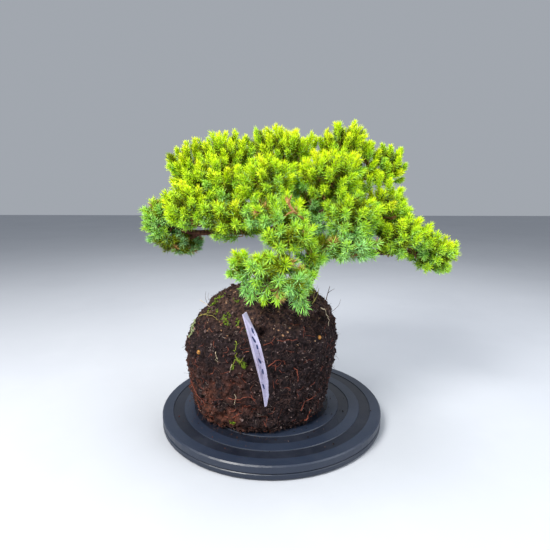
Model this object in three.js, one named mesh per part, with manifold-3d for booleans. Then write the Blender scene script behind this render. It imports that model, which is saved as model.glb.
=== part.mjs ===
// A dwarf juniper grown as a bonsai, lifted out of its pot: the bare root ball stands on a round
// swivel turntable, with a plant label pushed into its side.
// Millimetres, +Z up. The origin is where the turntable's swivel axis meets the table.
// +X is to the right and -Y is towards the viewer.
import * as THREE from "three";
import { mergeVertices } from "three/addons/utils/BufferGeometryUtils.js";
import Module from "manifold-3d";

const wasm = await Module();
wasm.setup();

// ---- Driving dimensions ----
const TABLE_RADIUS = 125; // the turntable's plates
const TOP_FACE = 15.4; // height of the plate that the root ball stands on
const TOP_PLATE = 8; // thickness of the upper plate at its rim
const BASE_PLATE = 5.9; // thickness of the lower plate
const PLATE_GAP = 0.7; // the shadow line between the plates
const FOOT_LIFT = TOP_FACE - TOP_PLATE - PLATE_GAP - BASE_PLATE; // the feet hold the base plate this high
const RING_PITCH = 12; // the upper plate's ridges and grooves alternate at this step
const RING_DEPTH = 0.8;
const RING_COUNT = 5;
const GAP = 0.3; // between touching pieces

const BALL_RADIUS = 2.5;
const BALL_COUNT = 8;
const RACE_RADIUS = 60; // the ball race's middle
const RACE_HALF_WIDTH = 6.5;
const POST_RADIUS = 8; // the swivel's post, on the base plate
const WASHER_RADIUS = 14;
const FOOT_RADIUS = 7;
const FOOT_COUNT = 4;
const FOOT_CIRCLE = 105;

const BALL_TOP_RADIUS = 84.5; // the root ball kept the shape of its round pot
const BALL_BASE_RADIUS = 74;
const SOIL_HEIGHT = 145; // from the turntable up to the top of the mound
const ROOT_BALL_AT = [-12, -4]; // it stands a little off the swivel axis
const ROOT_BALL_LEAN = 3; // its foot is this much further left
const ROOT_BALL_SPREAD = 0.04; // its foot is wider than deep by this share

const LABEL_WIDTH = 10;
const LABEL_THICKNESS = 0.7;
const LABEL_POINT = 16; // length of the tapered end

// ---- Helpers ----
function solidOf(geometry) {
  const bare = geometry.index ? geometry.toNonIndexed() : geometry.clone();
  for (const name of ["normal", "uv"]) bare.deleteAttribute(name);
  const merged = mergeVertices(bare, 1e-3);
  return new wasm.Manifold(
    new wasm.Mesh({
      numProp: 3,
      vertProperties: new Float32Array(merged.attributes.position.array),
      triVerts: new Uint32Array(merged.index.array),
    }),
  );
}

function geometryOf(solid) {
  const made = solid.getMesh();
  const geometry = new THREE.BufferGeometry();
  geometry.setAttribute("position", new THREE.BufferAttribute(made.vertProperties, 3));
  geometry.setIndex(new THREE.BufferAttribute(made.triVerts, 1));
  return geometry;
}

// A cut can leave crumbs beside the piece: the largest body is the piece.
function largest(solid) {
  const bodies = solid.decompose();
  return bodies.reduce((best, body) => (body.volume() > best.volume() ? body : best));
}

// A profile of [radius, height] pairs turned about Z.
function turned(profile, segments) {
  const points = profile.map(([r, z]) => new THREE.Vector2(r, z));
  return new THREE.LatheGeometry(points, segments).rotateX(Math.PI / 2);
}

function moveVertices(geometry, change) {
  const places = geometry.attributes.position;
  const v = new THREE.Vector3();
  for (let i = 0; i < places.count; i += 1) {
    v.fromBufferAttribute(places, i);
    change(v);
    places.setXYZ(i, v.x, v.y, v.z);
  }
  return geometry;
}

function onCircle(radius, index, count, start = 0) {
  const angle = start + (2 * Math.PI * index) / count;
  return [radius * Math.cos(angle), radius * Math.sin(angle)];
}

const part = new THREE.Group();

function finish(colour, roughness, metalness = 0) {
  return new THREE.MeshStandardMaterial({ color: colour, roughness, metalness });
}

function addNode(name, geometry, material) {
  const mesh = new THREE.Mesh(geometry, material);
  mesh.name = name;
  part.add(mesh);
  return mesh;
}

const blackPlastic = finish(0x23262c, 0.6);
const rubber = finish(0x1a1a1a, 0.9);
const steel = finish(0xb8bcc0, 0.3, 1);
const nylon = finish(0xd8d8d0, 0.5);
const peat = finish(0x3a2620, 0.95);
const bark = finish(0x6a4630, 0.9);
const needles = finish(0x8fbf2a, 0.6);
const moss = finish(0x7f9a2c, 0.9);
const whitePlastic = finish(0xd9cfe2, 0.4);
const fertiliser = finish(0xc98218, 0.5);

// ---- Turntable ----
const BASE_TOP = FOOT_LIFT + BASE_PLATE;
const TOP_BOTTOM = BASE_TOP + PLATE_GAP;
const BALL_MIDDLE = (BASE_TOP + TOP_BOTTOM) / 2;
const RACE_DEPTH = BALL_RADIUS + GAP - PLATE_GAP / 2; // of the channel in each plate
const RIM = 1.2; // rounding of the plates' rims
const PLATE_SIDES = 64;
const RECESS_DEPTH = 3.6; // in the middle of the upper plate, for the washer and the screw's head
const RECESS_RADIUS = WASHER_RADIUS + 1.5;
const RECESS_FLOOR = TOP_FACE - RECESS_DEPTH;
const POST_TOP = RECESS_FLOOR + GAP;
const SCREW_RADIUS = 2;
const SCREW_DEPTH = 6; // how far the screw reaches into the post

// The upper plate: ridged rings on top, a ball channel below and a bore for the post.
function upperPlateProfile() {
  const profile = [
    [POST_RADIUS + GAP, TOP_BOTTOM],
    [RACE_RADIUS - RACE_HALF_WIDTH, TOP_BOTTOM],
    [RACE_RADIUS - RACE_HALF_WIDTH, TOP_BOTTOM + RACE_DEPTH],
    [RACE_RADIUS + RACE_HALF_WIDTH, TOP_BOTTOM + RACE_DEPTH],
    [RACE_RADIUS + RACE_HALF_WIDTH, TOP_BOTTOM],
    [TABLE_RADIUS - RIM / 2, TOP_BOTTOM],
    [TABLE_RADIUS, TOP_BOTTOM + RIM / 2],
    [TABLE_RADIUS, TOP_FACE - RIM],
    [TABLE_RADIUS - RIM, TOP_FACE],
  ];
  for (let ring = 1; ring <= RING_COUNT; ring += 1) {
    const edge = TABLE_RADIUS - ring * RING_PITCH;
    const before = ring % 2 ? TOP_FACE : TOP_FACE - RING_DEPTH;
    const after = ring % 2 ? TOP_FACE - RING_DEPTH : TOP_FACE;
    profile.push([edge + RING_DEPTH / 4, before], [edge - RING_DEPTH / 4, after]);
  }
  profile.push([RECESS_RADIUS, TOP_FACE - RING_DEPTH]);
  profile.push([RECESS_RADIUS, RECESS_FLOOR]);
  profile.push([POST_RADIUS + GAP, RECESS_FLOOR]);
  profile.push(profile[0]);
  return profile;
}

addNode("turntable_top_plate", turned(upperPlateProfile(), PLATE_SIDES), blackPlastic);

// The lower plate: flat below, a ball channel above, and the post that the upper plate turns on.
const basePlate = turned(
  [
    [0, FOOT_LIFT],
    [TABLE_RADIUS - RIM, FOOT_LIFT],
    [TABLE_RADIUS, FOOT_LIFT + RIM],
    [TABLE_RADIUS, BASE_TOP - RIM / 2],
    [TABLE_RADIUS - RIM / 2, BASE_TOP],
    [RACE_RADIUS + RACE_HALF_WIDTH, BASE_TOP],
    [RACE_RADIUS + RACE_HALF_WIDTH, BASE_TOP - RACE_DEPTH],
    [RACE_RADIUS - RACE_HALF_WIDTH, BASE_TOP - RACE_DEPTH],
    [RACE_RADIUS - RACE_HALF_WIDTH, BASE_TOP],
    [POST_RADIUS, BASE_TOP],
    [POST_RADIUS, POST_TOP],
    [0, POST_TOP],
  ],
  PLATE_SIDES,
);
const FOOT_RECESS = 0.8;
const holeRadius = SCREW_RADIUS + GAP;
const screwHole = new THREE.CylinderGeometry(holeRadius, holeRadius, 2 * SCREW_DEPTH, 16);
let base = solidOf(basePlate).subtract(solidOf(screwHole.rotateX(Math.PI / 2).translate(0, 0, POST_TOP)));
for (let i = 0; i < FOOT_COUNT; i += 1) {
  const [x, y] = onCircle(FOOT_CIRCLE, i, FOOT_COUNT, Math.PI / 4);
  const socket = new THREE.CylinderGeometry(FOOT_RADIUS + GAP, FOOT_RADIUS + GAP, 2 * FOOT_RECESS, 20);
  base = base.subtract(solidOf(socket.rotateX(Math.PI / 2).translate(x, y, FOOT_LIFT)));
}
addNode("turntable_base_plate", geometryOf(base), blackPlastic);

for (let i = 0; i < FOOT_COUNT; i += 1) {
  const [x, y] = onCircle(FOOT_CIRCLE, i, FOOT_COUNT, Math.PI / 4);
  const height = FOOT_LIFT + FOOT_RECESS - GAP;
  const foot = new THREE.CylinderGeometry(FOOT_RADIUS, FOOT_RADIUS, height, 20);
  foot.rotateX(Math.PI / 2).translate(x, y, height / 2);
  addNode(`rubber_foot_${i + 1}`, foot, rubber);
}

const WASHER_THICKNESS = 1;
const HEAD_THICKNESS = 1;
const washerBottom = POST_TOP + GAP;
const washer = turned(
  [
    [SCREW_RADIUS + GAP, washerBottom],
    [WASHER_RADIUS, washerBottom],
    [WASHER_RADIUS, washerBottom + WASHER_THICKNESS],
    [SCREW_RADIUS + GAP, washerBottom + WASHER_THICKNESS],
    [SCREW_RADIUS + GAP, washerBottom],
  ],
  20,
);
addNode("retaining_washer", washer, steel);

const headBottom = washerBottom + WASHER_THICKNESS + GAP;
const screw = turned(
  [
    [0, POST_TOP - SCREW_DEPTH + GAP],
    [SCREW_RADIUS, POST_TOP - SCREW_DEPTH + GAP],
    [SCREW_RADIUS, headBottom],
    [2 * SCREW_RADIUS, headBottom],
    [2 * SCREW_RADIUS, headBottom + HEAD_THICKNESS],
    [0, headBottom + HEAD_THICKNESS],
  ],
  12,
);
addNode("centre_screw", screw, steel);

const CAGE_HALF_WIDTH = 5;
const CAGE_HALF_HEIGHT = 1.2;
let cage = solidOf(
  turned(
    [
      [RACE_RADIUS - CAGE_HALF_WIDTH, BALL_MIDDLE - CAGE_HALF_HEIGHT],
      [RACE_RADIUS + CAGE_HALF_WIDTH, BALL_MIDDLE - CAGE_HALF_HEIGHT],
      [RACE_RADIUS + CAGE_HALF_WIDTH, BALL_MIDDLE + CAGE_HALF_HEIGHT],
      [RACE_RADIUS - CAGE_HALF_WIDTH, BALL_MIDDLE + CAGE_HALF_HEIGHT],
      [RACE_RADIUS - CAGE_HALF_WIDTH, BALL_MIDDLE - CAGE_HALF_HEIGHT],
    ],
    32,
  ),
);
for (let i = 0; i < BALL_COUNT; i += 1) {
  const [x, y] = onCircle(RACE_RADIUS, i, BALL_COUNT);
  const pocket = new THREE.CylinderGeometry(BALL_RADIUS + 2 * GAP, BALL_RADIUS + 2 * GAP, 8, 8);
  cage = cage.subtract(solidOf(pocket.rotateX(Math.PI / 2).translate(x, y, BALL_MIDDLE)));
  const ball = new THREE.IcosahedronGeometry(BALL_RADIUS, 1).translate(x, y, BALL_MIDDLE);
  addNode(`bearing_ball_${i + 1}`, ball, steel);
}
addNode("ball_cage", geometryOf(cage), nylon);

// ---- Tree: trunk and limbs ----
// Heights in this section are measured from the turntable's top face.
const LIMB_STEP = 18; // spacing of the rings along a limb

// A tapered, round-ended limb: a turned profile bent along a smooth curve.
function limb(points, startRadius, endRadius, sides, grow = 0) {
  const curve = new THREE.CatmullRomCurve3(points.map((p) => new THREE.Vector3(...p)));
  const length = curve.getLength();
  const steps = Math.max(3, Math.round(length / LIMB_STEP));
  const profile = [[0, 0]];
  for (let i = 0; i <= steps; i += 1) {
    const t = i / steps;
    profile.push([THREE.MathUtils.lerp(startRadius, endRadius, t) + grow, t]);
  }
  profile.push([0, 1]);
  // profile heights 0..1 become stations along the curve, with the ends pushed out by grow
  const side = new THREE.Vector3();
  const across = new THREE.Vector3();
  return moveVertices(turned(profile, sides), (v) => {
    const tangent = curve.getTangentAt(THREE.MathUtils.clamp(v.z, 0, 1));
    const middle = curve.getPointAt(THREE.MathUtils.clamp(v.z, 0, 1));
    side.set(0, 1, 0.2).cross(tangent).normalize();
    across.copy(tangent).cross(side);
    const past = v.z > 0.999 ? grow : 0;
    middle.addScaledVector(side, v.x).addScaledVector(across, v.y).addScaledVector(tangent, past);
    v.copy(middle);
  });
}

// [start radius, end radius, points]. Each limb starts inside the one that bears it.
const LIMBS = [
  [9, 5, [[30, -4, 126], [40, -6, 150], [47, -5, 172], [44, 0, 195], [35, 6, 216], [28, 10, 236]]],
  [5, 2.2, [[44, -3, 184], [4, -14, 201], [-45, -18, 200], [-90, -8, 199], [-122, 4, 210]]],
  [2.6, 1.5, [[-45, -18, 200], [-68, -32, 210], [-82, -36, 222]]],
  [2.2, 1.5, [[-76, -12, 197], [-92, 2, 191], [-103, 6, 187]]],
  [3.6, 1.8, [[30, 9, 230], [-4, 14, 238], [-50, 22, 254], [-88, 26, 268]]],
  [2.6, 1.6, [[-4, 14, 238], [-34, 18, 258], [-50, 20, 276]]],
  [4, 2, [[29, 10, 232], [18, 20, 258], [11, 28, 280]]],
  [4, 2, [[36, 6, 214], [58, 16, 240], [76, 26, 268], [84, 30, 288]]],
  [2.8, 1.6, [[58, 16, 240], [98, 34, 258], [134, 43, 270]]],
  [1.8, 1.3, [[92, 31, 255], [106, 38, 264], [112, 38, 270]]],
  [1.8, 1.3, [[40, 2, 206], [28, -8, 222], [24, -10, 232]]],
  [3, 1.6, [[38, 4, 210], [14, -18, 234], [-4, -32, 248]]],
  [2.8, 1.6, [[4, -14, 201], [-22, -32, 208], [-36, -43, 214]]],
  [3, 1.6, [[46, -4, 180], [20, -38, 200], [5, -57, 214]]],
  [2.4, 1.5, [[14, 12, 235], [-26, -6, 244], [-56, -18, 251]]],
  [3, 1.6, [[40, 2, 206], [54, -6, 234], [60, -13, 253]]],
  [5, 2, [[47, -5, 170], [82, -12, 178], [120, -13, 178], [152, -8, 177], [174, -5, 175]]],
  [2.6, 1.6, [[62, -8, 174], [72, -26, 198], [79, -34, 214]]],
  [2.6, 1.6, [[88, -12, 178], [108, -4, 200], [121, 3, 219]]],
  [2.4, 1.5, [[118, -13, 178], [128, -12, 188], [136, -10, 198]]],
  [2.2, 1.5, [[56, -6, 172], [62, -30, 182], [70, -43, 188]]],
  [4, 1.4, [[46, -6, 168], [32, -42, 190], [15, -68, 196], [4, -82, 182], [4, -88, 166], [14, -91, 155]]],
  [1.5, 1.1, [[4, -82, 182], [-14, -84, 177], [-32, -81, 175]]],
  [2, 1.3, [[38, -26, 184], [39, -46, 182], [38, -60, 177]]],
  [4, 1.8, [[40, 2, 204], [-6, 36, 220], [-46, 58, 231], [-66, 68, 236]]],
  [4, 1.8, [[38, 4, 210], [22, 42, 232], [8, 80, 246]]],
  [4, 1.8, [[42, 1, 200], [58, 36, 220], [78, 70, 234]]],
  [2.4, 1.5, [[-20, 44, 224], [-68, 48, 216], [-104, 50, 215]]],
  [2.6, 1.6, [[58, 36, 220], [98, 46, 214], [130, 50, 212]]],
];

function wood(grow) {
  return LIMBS.map(([start, end, points], i) => solidOf(limb(points, start, end, i ? 5 : 10, grow)))
    .reduce((all, one) => all.add(one))
    .translate([0, 0, TOP_FACE]);
}
const trunkAndLimbs = wood(0);
const trunkClearance = wood(2 * GAP);
addNode("trunk_and_limbs", geometryOf(largest(trunkAndLimbs)), bark);

// ---- Tree: foliage pads ----
// Each pad is the closed outer shape of one limb's foliage: [name, centre, half sizes].
const PADS = [
  ["crown_back_left", [-91, 26, 270], [28, 29, 26]],
  ["crown_left", [-51, 20, 281], [33, 31, 28]],
  ["crown_middle", [10, 30, 289], [41, 33, 28]],
  ["crown_peak", [81, 30, 292], [29, 30, 31]],
  ["crown_right_middle", [112, 38, 272], [20, 24, 24]],
  ["heart", [27, -6, 232], [26, 24, 25]],
  ["crown_right_back", [135, 45, 272], [23, 25, 24]],
  ["front_left_high", [-83, -36, 229], [27, 28, 26]],
  ["left_lobe", [-122, 5, 213], [25, 29, 25]],
  ["left_drop", [-101, 5, 188], [28, 24, 16]],
  ["front_left_mid", [-38, -45, 219], [31, 30, 25]],
  ["front_middle_high", [-6, -34, 254], [31, 30, 27]],
  ["front_middle", [4, -60, 220], [29, 26, 21]],
  ["left_shoulder", [-60, -20, 254], [28, 28, 26]],
  ["right_shoulder", [61, -15, 260], [35, 30, 27]],
  ["right_middle", [80, -35, 221], [32, 28, 23]],
  ["right_high", [122, 4, 225], [27, 28, 25]],
  ["right_lobe", [137, -10, 199], [33, 32, 26]],
  ["right_tip", [177, -5, 177], [26, 27, 24]],
  ["right_low", [72, -45, 189], [37, 28, 17]],
  ["cascade_top", [16, -72, 202], [28, 22, 20]],
  ["cascade_middle", [-2, -85, 173], [29, 22, 19]],
  ["cascade_low", [21, -90, 160], [20, 18, 16]],
  ["cascade_left_sprig", [-34, -81, 176], [8, 10, 11]],
  ["cascade_right", [37, -64, 177], [12, 15, 14]],
  ["back_left", [-70, 68, 238], [40, 38, 32]],
  ["back_middle", [6, 84, 248], [42, 38, 32]],
  ["back_right", [80, 74, 238], [40, 38, 32]],
  ["back_low_left", [-112, 50, 216], [31, 30, 24]],
  ["back_far_right", [138, 52, 213], [32, 30, 24]],
];
const PAD_DETAIL = 2;
const LUMP = 0.05; // depth of the pads' unevenness, as a share of their size
const PAD_SPACE = 0.8; // between neighbouring pads

function padSolid([, centre, half], space) {
  const lump = moveVertices(new THREE.IcosahedronGeometry(1, PAD_DETAIL), (v) => {
    const wave = Math.sin(5 * v.x + centre[0]) * Math.cos(4 * v.y - centre[1]) + Math.sin(6 * v.z);
    v.multiplyScalar(1 + LUMP * wave);
    v.set(v.x * (half[0] + space), v.y * (half[1] + space), v.z * (half[2] + space));
    v.add(new THREE.Vector3(centre[0], centre[1], centre[2] + TOP_FACE));
  });
  return solidOf(lump);
}

PADS.forEach((pad, i) => {
  const others = PADS.slice(0, i).map((earlier) => padSolid(earlier, PAD_SPACE));
  const cutters = [...others, trunkClearance];
  const cut = cutters.reduce((left, cutter) => left.subtract(cutter), padSolid(pad, 0));
  addNode(`foliage_${pad[0]}`, geometryOf(largest(cut)), needles);
});

// ---- Root ball, moss, fertiliser and label ----
const ROOT_BALL_BOTTOM = TOP_FACE + GAP;
const WALL_TOP = 98; // where the wall turns into the mound
const SLUMP = 0.16; // the mound has settled towards its left
const SLUMP_FROM = 60; // height where the settling starts
const SHOULDER_FROM = 35; // the left shoulder has crumbled from this far out
const SHOULDER_LOSS = 0.006; // by this share of the square of the rest
const rootBallProfile = [
  [0, 0],
  [BALL_BASE_RADIUS - 7, 0],
  [BALL_BASE_RADIUS - 2, 3],
  [BALL_BASE_RADIUS + 1, 12],
  [BALL_TOP_RADIUS - 4, 52],
  [BALL_TOP_RADIUS, 85],
  [BALL_TOP_RADIUS, WALL_TOP],
  [BALL_TOP_RADIUS - 4, WALL_TOP + 12],
  [BALL_TOP_RADIUS - 10, WALL_TOP + 23],
  [BALL_TOP_RADIUS - 20, WALL_TOP + 32],
  [BALL_TOP_RADIUS - 32, SOIL_HEIGHT - 8],
  [BALL_TOP_RADIUS - 52, SOIL_HEIGHT - 2.5],
  [0, SOIL_HEIGHT],
];
const unevenRootBall = moveVertices(turned(rootBallProfile, 32), (v) => {
  const angle = Math.atan2(v.y, v.x);
  const swell = 1 + 0.012 * Math.sin(3 * angle + v.z / 30) + 0.008 * Math.sin(7 * angle - v.z / 18);
  const crumbled = SHOULDER_LOSS * Math.max(0, -v.x - SHOULDER_FROM) ** 2;
  const high = THREE.MathUtils.smoothstep(v.z, SLUMP_FROM, WALL_TOP + 25);
  const settled = high * (SLUMP * Math.max(0, -v.x) + crumbled);
  const low = Math.max(0, 1 - v.z / WALL_TOP);
  const x = v.x * swell * (1 + ROOT_BALL_SPREAD * low) - ROOT_BALL_LEAN * low;
  v.set(x, v.y * swell * (1 - 0.5 * ROOT_BALL_SPREAD * low), v.z - settled);
  v.add(new THREE.Vector3(...ROOT_BALL_AT, ROOT_BALL_BOTTOM));
});
const rawRootBall = solidOf(unevenRootBall);

// The label: a strip with a pointed lower end, stuck edgeways into the front of the root ball.
// Its outer edge runs through these places, from its point up.
const labelEdge = new THREE.CatmullRomCurve3([
  new THREE.Vector3(-7.1, -83.5, TOP_FACE + 36),
  new THREE.Vector3(-9.7, -89, TOP_FACE + 58),
  new THREE.Vector3(-14.3, -94, TOP_FACE + 86),
  new THREE.Vector3(-20.7, -96, TOP_FACE + 113),
  new THREE.Vector3(-27, -94, TOP_FACE + 132),
]);
const LABEL_LENGTH = labelEdge.getLength();
const LABEL_STEPS = 8;
const LABEL_TURN = THREE.MathUtils.degToRad(50); // its width runs right and back into the soil
const LABEL_TWIST = THREE.MathUtils.degToRad(24); // its free upper end turns further away

function labelGeometry(grow) {
  const outline = new THREE.Shape();
  outline.moveTo(-grow, -grow);
  outline.lineTo(LABEL_WIDTH / 4, -grow);
  outline.lineTo(LABEL_WIDTH + grow, LABEL_POINT);
  const step = (LABEL_LENGTH - LABEL_POINT) / LABEL_STEPS;
  for (let i = 1; i <= LABEL_STEPS; i += 1) outline.lineTo(LABEL_WIDTH + grow, LABEL_POINT + i * step);
  for (let i = LABEL_STEPS; i >= 0; i -= 1) outline.lineTo(-grow, LABEL_POINT + i * step);
  const depth = LABEL_THICKNESS + 2 * grow;
  const strip = new THREE.ExtrudeGeometry(outline, { depth, bevelEnabled: false });
  return moveVertices(strip.translate(0, 0, -grow), (v) => {
    const along = THREE.MathUtils.clamp(v.y / LABEL_LENGTH, 0, 1);
    const turn = LABEL_TURN + LABEL_TWIST * THREE.MathUtils.smoothstep(along, 0.7, 1);
    const edge = labelEdge.getPointAt(along);
    edge.x += v.x * Math.cos(turn) + v.z * Math.sin(turn);
    edge.y += v.x * Math.sin(turn) - v.z * Math.cos(turn);
    v.copy(edge);
  });
}

// [name, centre from the table, radius]: slow-release pellets sitting in the wall
const PELLETS = [
  ["fertiliser_pellet_left", [-72.9, -62.8, TOP_FACE + 84], 2.4],
  ["fertiliser_pellet_right", [46.8, -64.2, TOP_FACE + 100], 2.2],
];

const pelletSockets = PELLETS.map(([, at, radius]) =>
  solidOf(new THREE.IcosahedronGeometry(radius + GAP, 1).translate(...at)),
);
const rootBall = [trunkClearance, solidOf(labelGeometry(GAP)), ...pelletSockets].reduce(
  (left, cutter) => left.subtract(cutter),
  rawRootBall,
);
addNode("root_ball", geometryOf(largest(rootBall)), peat);
addNode("plant_label", labelGeometry(0), whitePlastic);
for (const [name, at, radius] of PELLETS) {
  addNode(name, new THREE.IcosahedronGeometry(radius, 1).translate(...at), fertiliser);
}

// [name, centre, half sizes]: cushions of moss on the mound's left
const MOSSES = [
  ["moss_on_mound", [-62, -26, TOP_FACE + 124], [11, 9, 5]],
  ["moss_at_front", [-42, -66.5, TOP_FACE + 117], [12, 5, 5]],
  ["moss_on_rim", [-89, -27, TOP_FACE + 98], [4.5, 7, 9]],
];
const soilClearance = solidOf(
  moveVertices(unevenRootBall.clone(), (v) => {
    v.x += (v.x - ROOT_BALL_AT[0]) * 0.005;
    v.y += (v.y - ROOT_BALL_AT[1]) * 0.005;
    v.z += GAP;
  }),
);
for (const [name, at, half] of MOSSES) {
  const cushion = new THREE.IcosahedronGeometry(1, 2).scale(...half).translate(...at);
  addNode(name, geometryOf(largest(solidOf(cushion).subtract(soilClearance))), moss);
}

export default part;
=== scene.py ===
# %% [markdown]
# # A dwarf juniper bonsai on its turntable
# The tree was grown in a pot and has just been lifted out, so it stands on its own root ball. The
# solid model gives the places and sizes of everything: one lumpy solid for each limb's foliage, the
# wood, the root ball, the label and the swivel turntable. This lesson gives each of them the surface
# that the real one has. Everything is in metres, with +Z up and the viewer on the -Y side.

import math
from collections import namedtuple

import bpy
import numpy as np
from mathutils import Matrix, Vector
from mathutils.bvhtree import BVHTree


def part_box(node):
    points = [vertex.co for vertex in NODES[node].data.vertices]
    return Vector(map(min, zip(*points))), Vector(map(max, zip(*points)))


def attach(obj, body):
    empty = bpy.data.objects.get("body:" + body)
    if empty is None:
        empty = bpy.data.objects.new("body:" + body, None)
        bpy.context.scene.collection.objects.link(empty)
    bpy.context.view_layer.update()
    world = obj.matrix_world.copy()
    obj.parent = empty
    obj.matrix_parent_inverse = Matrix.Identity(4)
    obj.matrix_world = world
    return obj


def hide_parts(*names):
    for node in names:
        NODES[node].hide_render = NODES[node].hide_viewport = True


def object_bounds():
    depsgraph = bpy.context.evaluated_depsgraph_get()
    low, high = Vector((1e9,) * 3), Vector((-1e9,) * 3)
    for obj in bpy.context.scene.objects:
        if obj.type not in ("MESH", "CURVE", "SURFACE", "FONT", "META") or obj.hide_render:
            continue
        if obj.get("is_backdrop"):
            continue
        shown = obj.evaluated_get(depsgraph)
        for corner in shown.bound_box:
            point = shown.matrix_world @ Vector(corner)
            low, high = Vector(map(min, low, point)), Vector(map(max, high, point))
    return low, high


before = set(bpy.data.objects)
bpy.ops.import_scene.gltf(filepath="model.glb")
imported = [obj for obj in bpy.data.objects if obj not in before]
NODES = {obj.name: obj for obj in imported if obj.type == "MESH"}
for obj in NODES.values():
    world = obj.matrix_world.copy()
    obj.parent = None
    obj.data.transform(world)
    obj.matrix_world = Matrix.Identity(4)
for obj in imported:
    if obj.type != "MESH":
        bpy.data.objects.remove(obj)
SOLID_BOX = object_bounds()
MM = 0.001  # metres
bpy.ops.object.select_all(action="DESELECT")
print("nodes loaded:", len(NODES))

# %% [markdown]
# ## Small helpers
# `piece` turns arrays of corners and triangles into an object, which is how thousands of needles become
# one mesh in a moment. `copy_of_solid` takes a merged copy of a solid, ready to be refined. `roughen`
# pushes its surface in and out, and `apply_all` applies its modifiers, as the Apply button would. The
# vector helpers work on whole arrays of directions at once.


# %% Mesh helpers
def make_active(obj):
    bpy.ops.object.select_all(action="DESELECT")
    obj.select_set(True)
    bpy.context.view_layer.objects.active = obj


def piece(name, corners, triangles, material, slot, uv=None):
    """A piece of the upper body, made of triangles. uv: one pair for each corner of each triangle."""
    mesh = bpy.data.meshes.new(name)
    mesh.vertices.add(len(corners))
    mesh.vertices.foreach_set("co", np.asarray(corners, np.float32).ravel())
    mesh.loops.add(len(triangles) * 3)
    mesh.loops.foreach_set("vertex_index", np.asarray(triangles, np.int32).ravel())
    mesh.polygons.add(len(triangles))
    mesh.polygons.foreach_set("loop_start", np.arange(0, len(triangles) * 3, 3, dtype=np.int32))
    mesh.polygons.foreach_set("use_smooth", np.zeros(len(triangles), bool))
    mesh.update(calc_edges=True)
    if uv is not None:
        layer = mesh.uv_layers.new(name="OFBake")
        layer.data.foreach_set("uv", np.asarray(uv, np.float32).ravel())
    mesh.materials.append(material)
    obj = bpy.data.objects.new(name, mesh)
    bpy.context.scene.collection.objects.link(obj)
    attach(obj, "top")
    print(f"{name}: {len(triangles)} triangles")
    return obj


def copy_of_solid(node, name):
    """A merged copy of a solid's mesh, as a new object."""
    obj = bpy.data.objects.new(name, NODES[node].data.copy())
    bpy.context.scene.collection.objects.link(obj)
    make_active(obj)
    bpy.ops.object.mode_set(mode="EDIT")
    bpy.ops.mesh.select_all(action="SELECT")
    bpy.ops.mesh.remove_doubles(threshold=0.00001)
    bpy.ops.object.mode_set(mode="OBJECT")
    return obj


def apply_all(obj):
    make_active(obj)
    for modifier in list(obj.modifiers):
        bpy.ops.object.modifier_apply(modifier=modifier.name)


def roughen(obj, name, kind, size, push, middle, group=""):
    """Adds a modifier that pushes a surface in and out by a procedural texture."""
    texture = bpy.data.textures.new(name, kind)
    texture.noise_scale = size
    modifier = obj.modifiers.new(name, "DISPLACE")
    modifier.texture = texture
    modifier.texture_coords = "LOCAL"
    modifier.strength = push
    modifier.mid_level = middle
    modifier.vertex_group = group


def put_on(obj, material, smooth=True):
    """Gives an object one material in place of what it has."""
    obj.data.materials.clear()
    obj.data.materials.append(material)
    if smooth:
        obj.data.shade_smooth()


def corners_of(obj):
    places = np.empty(len(obj.data.vertices) * 3, np.float32)
    obj.data.vertices.foreach_get("co", places)
    return places.reshape(-1, 3).astype(float)


def move_corners(obj, places):
    obj.data.vertices.foreach_set("co", places.astype(np.float32).ravel())
    obj.data.update()


def triangles_of(obj):
    obj.data.calc_loop_triangles()
    found = np.empty(len(obj.data.loop_triangles) * 3, np.int32)
    obj.data.loop_triangles.foreach_get("vertices", found)
    return found.reshape(-1, 3)


def tree_of(obj):
    """A search tree that finds the nearest point of an object's surface."""
    return BVHTree.FromPolygons(corners_of(obj).tolist(), triangles_of(obj).tolist())


# %% Vector helpers
def nearest_on(tree, places):
    """The nearest points of a surface to some places, and its normals there."""
    found = [tree.find_nearest(Vector(p)) for p in places]
    return (np.array([tuple(f[k]) for f in found]) for k in (0, 1))


def unit(v):
    return v / np.maximum(np.linalg.norm(v, axis=-1, keepdims=True), 1e-12)


def square_to(direction):
    """Two directions square to each given one and to each other."""
    steep = np.abs(direction[..., 2:3]) > 0.9
    helper = np.where(steep, [1.0, 0.0, 0.0], [0.0, 0.0, 1.0])
    first = unit(np.cross(direction, helper))
    return first, np.cross(direction, first)


def square_turns(direction):
    """Rotation matrices whose last axis is the given direction."""
    first, second = square_to(direction)
    return np.stack([first, second, np.cross(first, second)], axis=2)


def mixed(a, b, share):
    return a + (b - a) * share


# %% [markdown]
# ## Shader groups
# Soil, bark, moss and plastic all need the same few effects: a colour that wanders between three
# tones, small specks, and dust that settles on what faces up. Each is a node group that is built once
# and placed in the materials with its own numbers. A group only puts out colours and values. The
# shader itself stays in the material.


# %% Node helpers
def wire(tree, source, target):
    tree.links.new(source, target)


def feed(tree, sockets, values):
    """Feeds each socket its value, which is another socket or a plain value."""
    for socket, value in zip(sockets, values):
        if isinstance(value, bpy.types.NodeSocket):
            wire(tree, value, socket)
        else:
            socket.default_value = value


def add(tree, kind, **settings):
    """A shader node with its named settings."""
    made = tree.nodes.new("ShaderNode" + kind)
    for key, value in settings.items():
        setattr(made, key, value)
    return made


def new_group(name, inputs, outputs):
    """An empty node group with its input and output nodes. inputs: (name, type, default)."""
    group = bpy.data.node_groups.new(name, "ShaderNodeTree")
    for label, kind, value in inputs:
        socket = group.interface.new_socket(name=label, in_out="INPUT", socket_type="NodeSocket" + kind)
        socket.default_value = value
    for label, kind in outputs:
        group.interface.new_socket(name=label, in_out="OUTPUT", socket_type="NodeSocket" + kind)
    return group, group.nodes.new("NodeGroupInput"), group.nodes.new("NodeGroupOutput")


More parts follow.
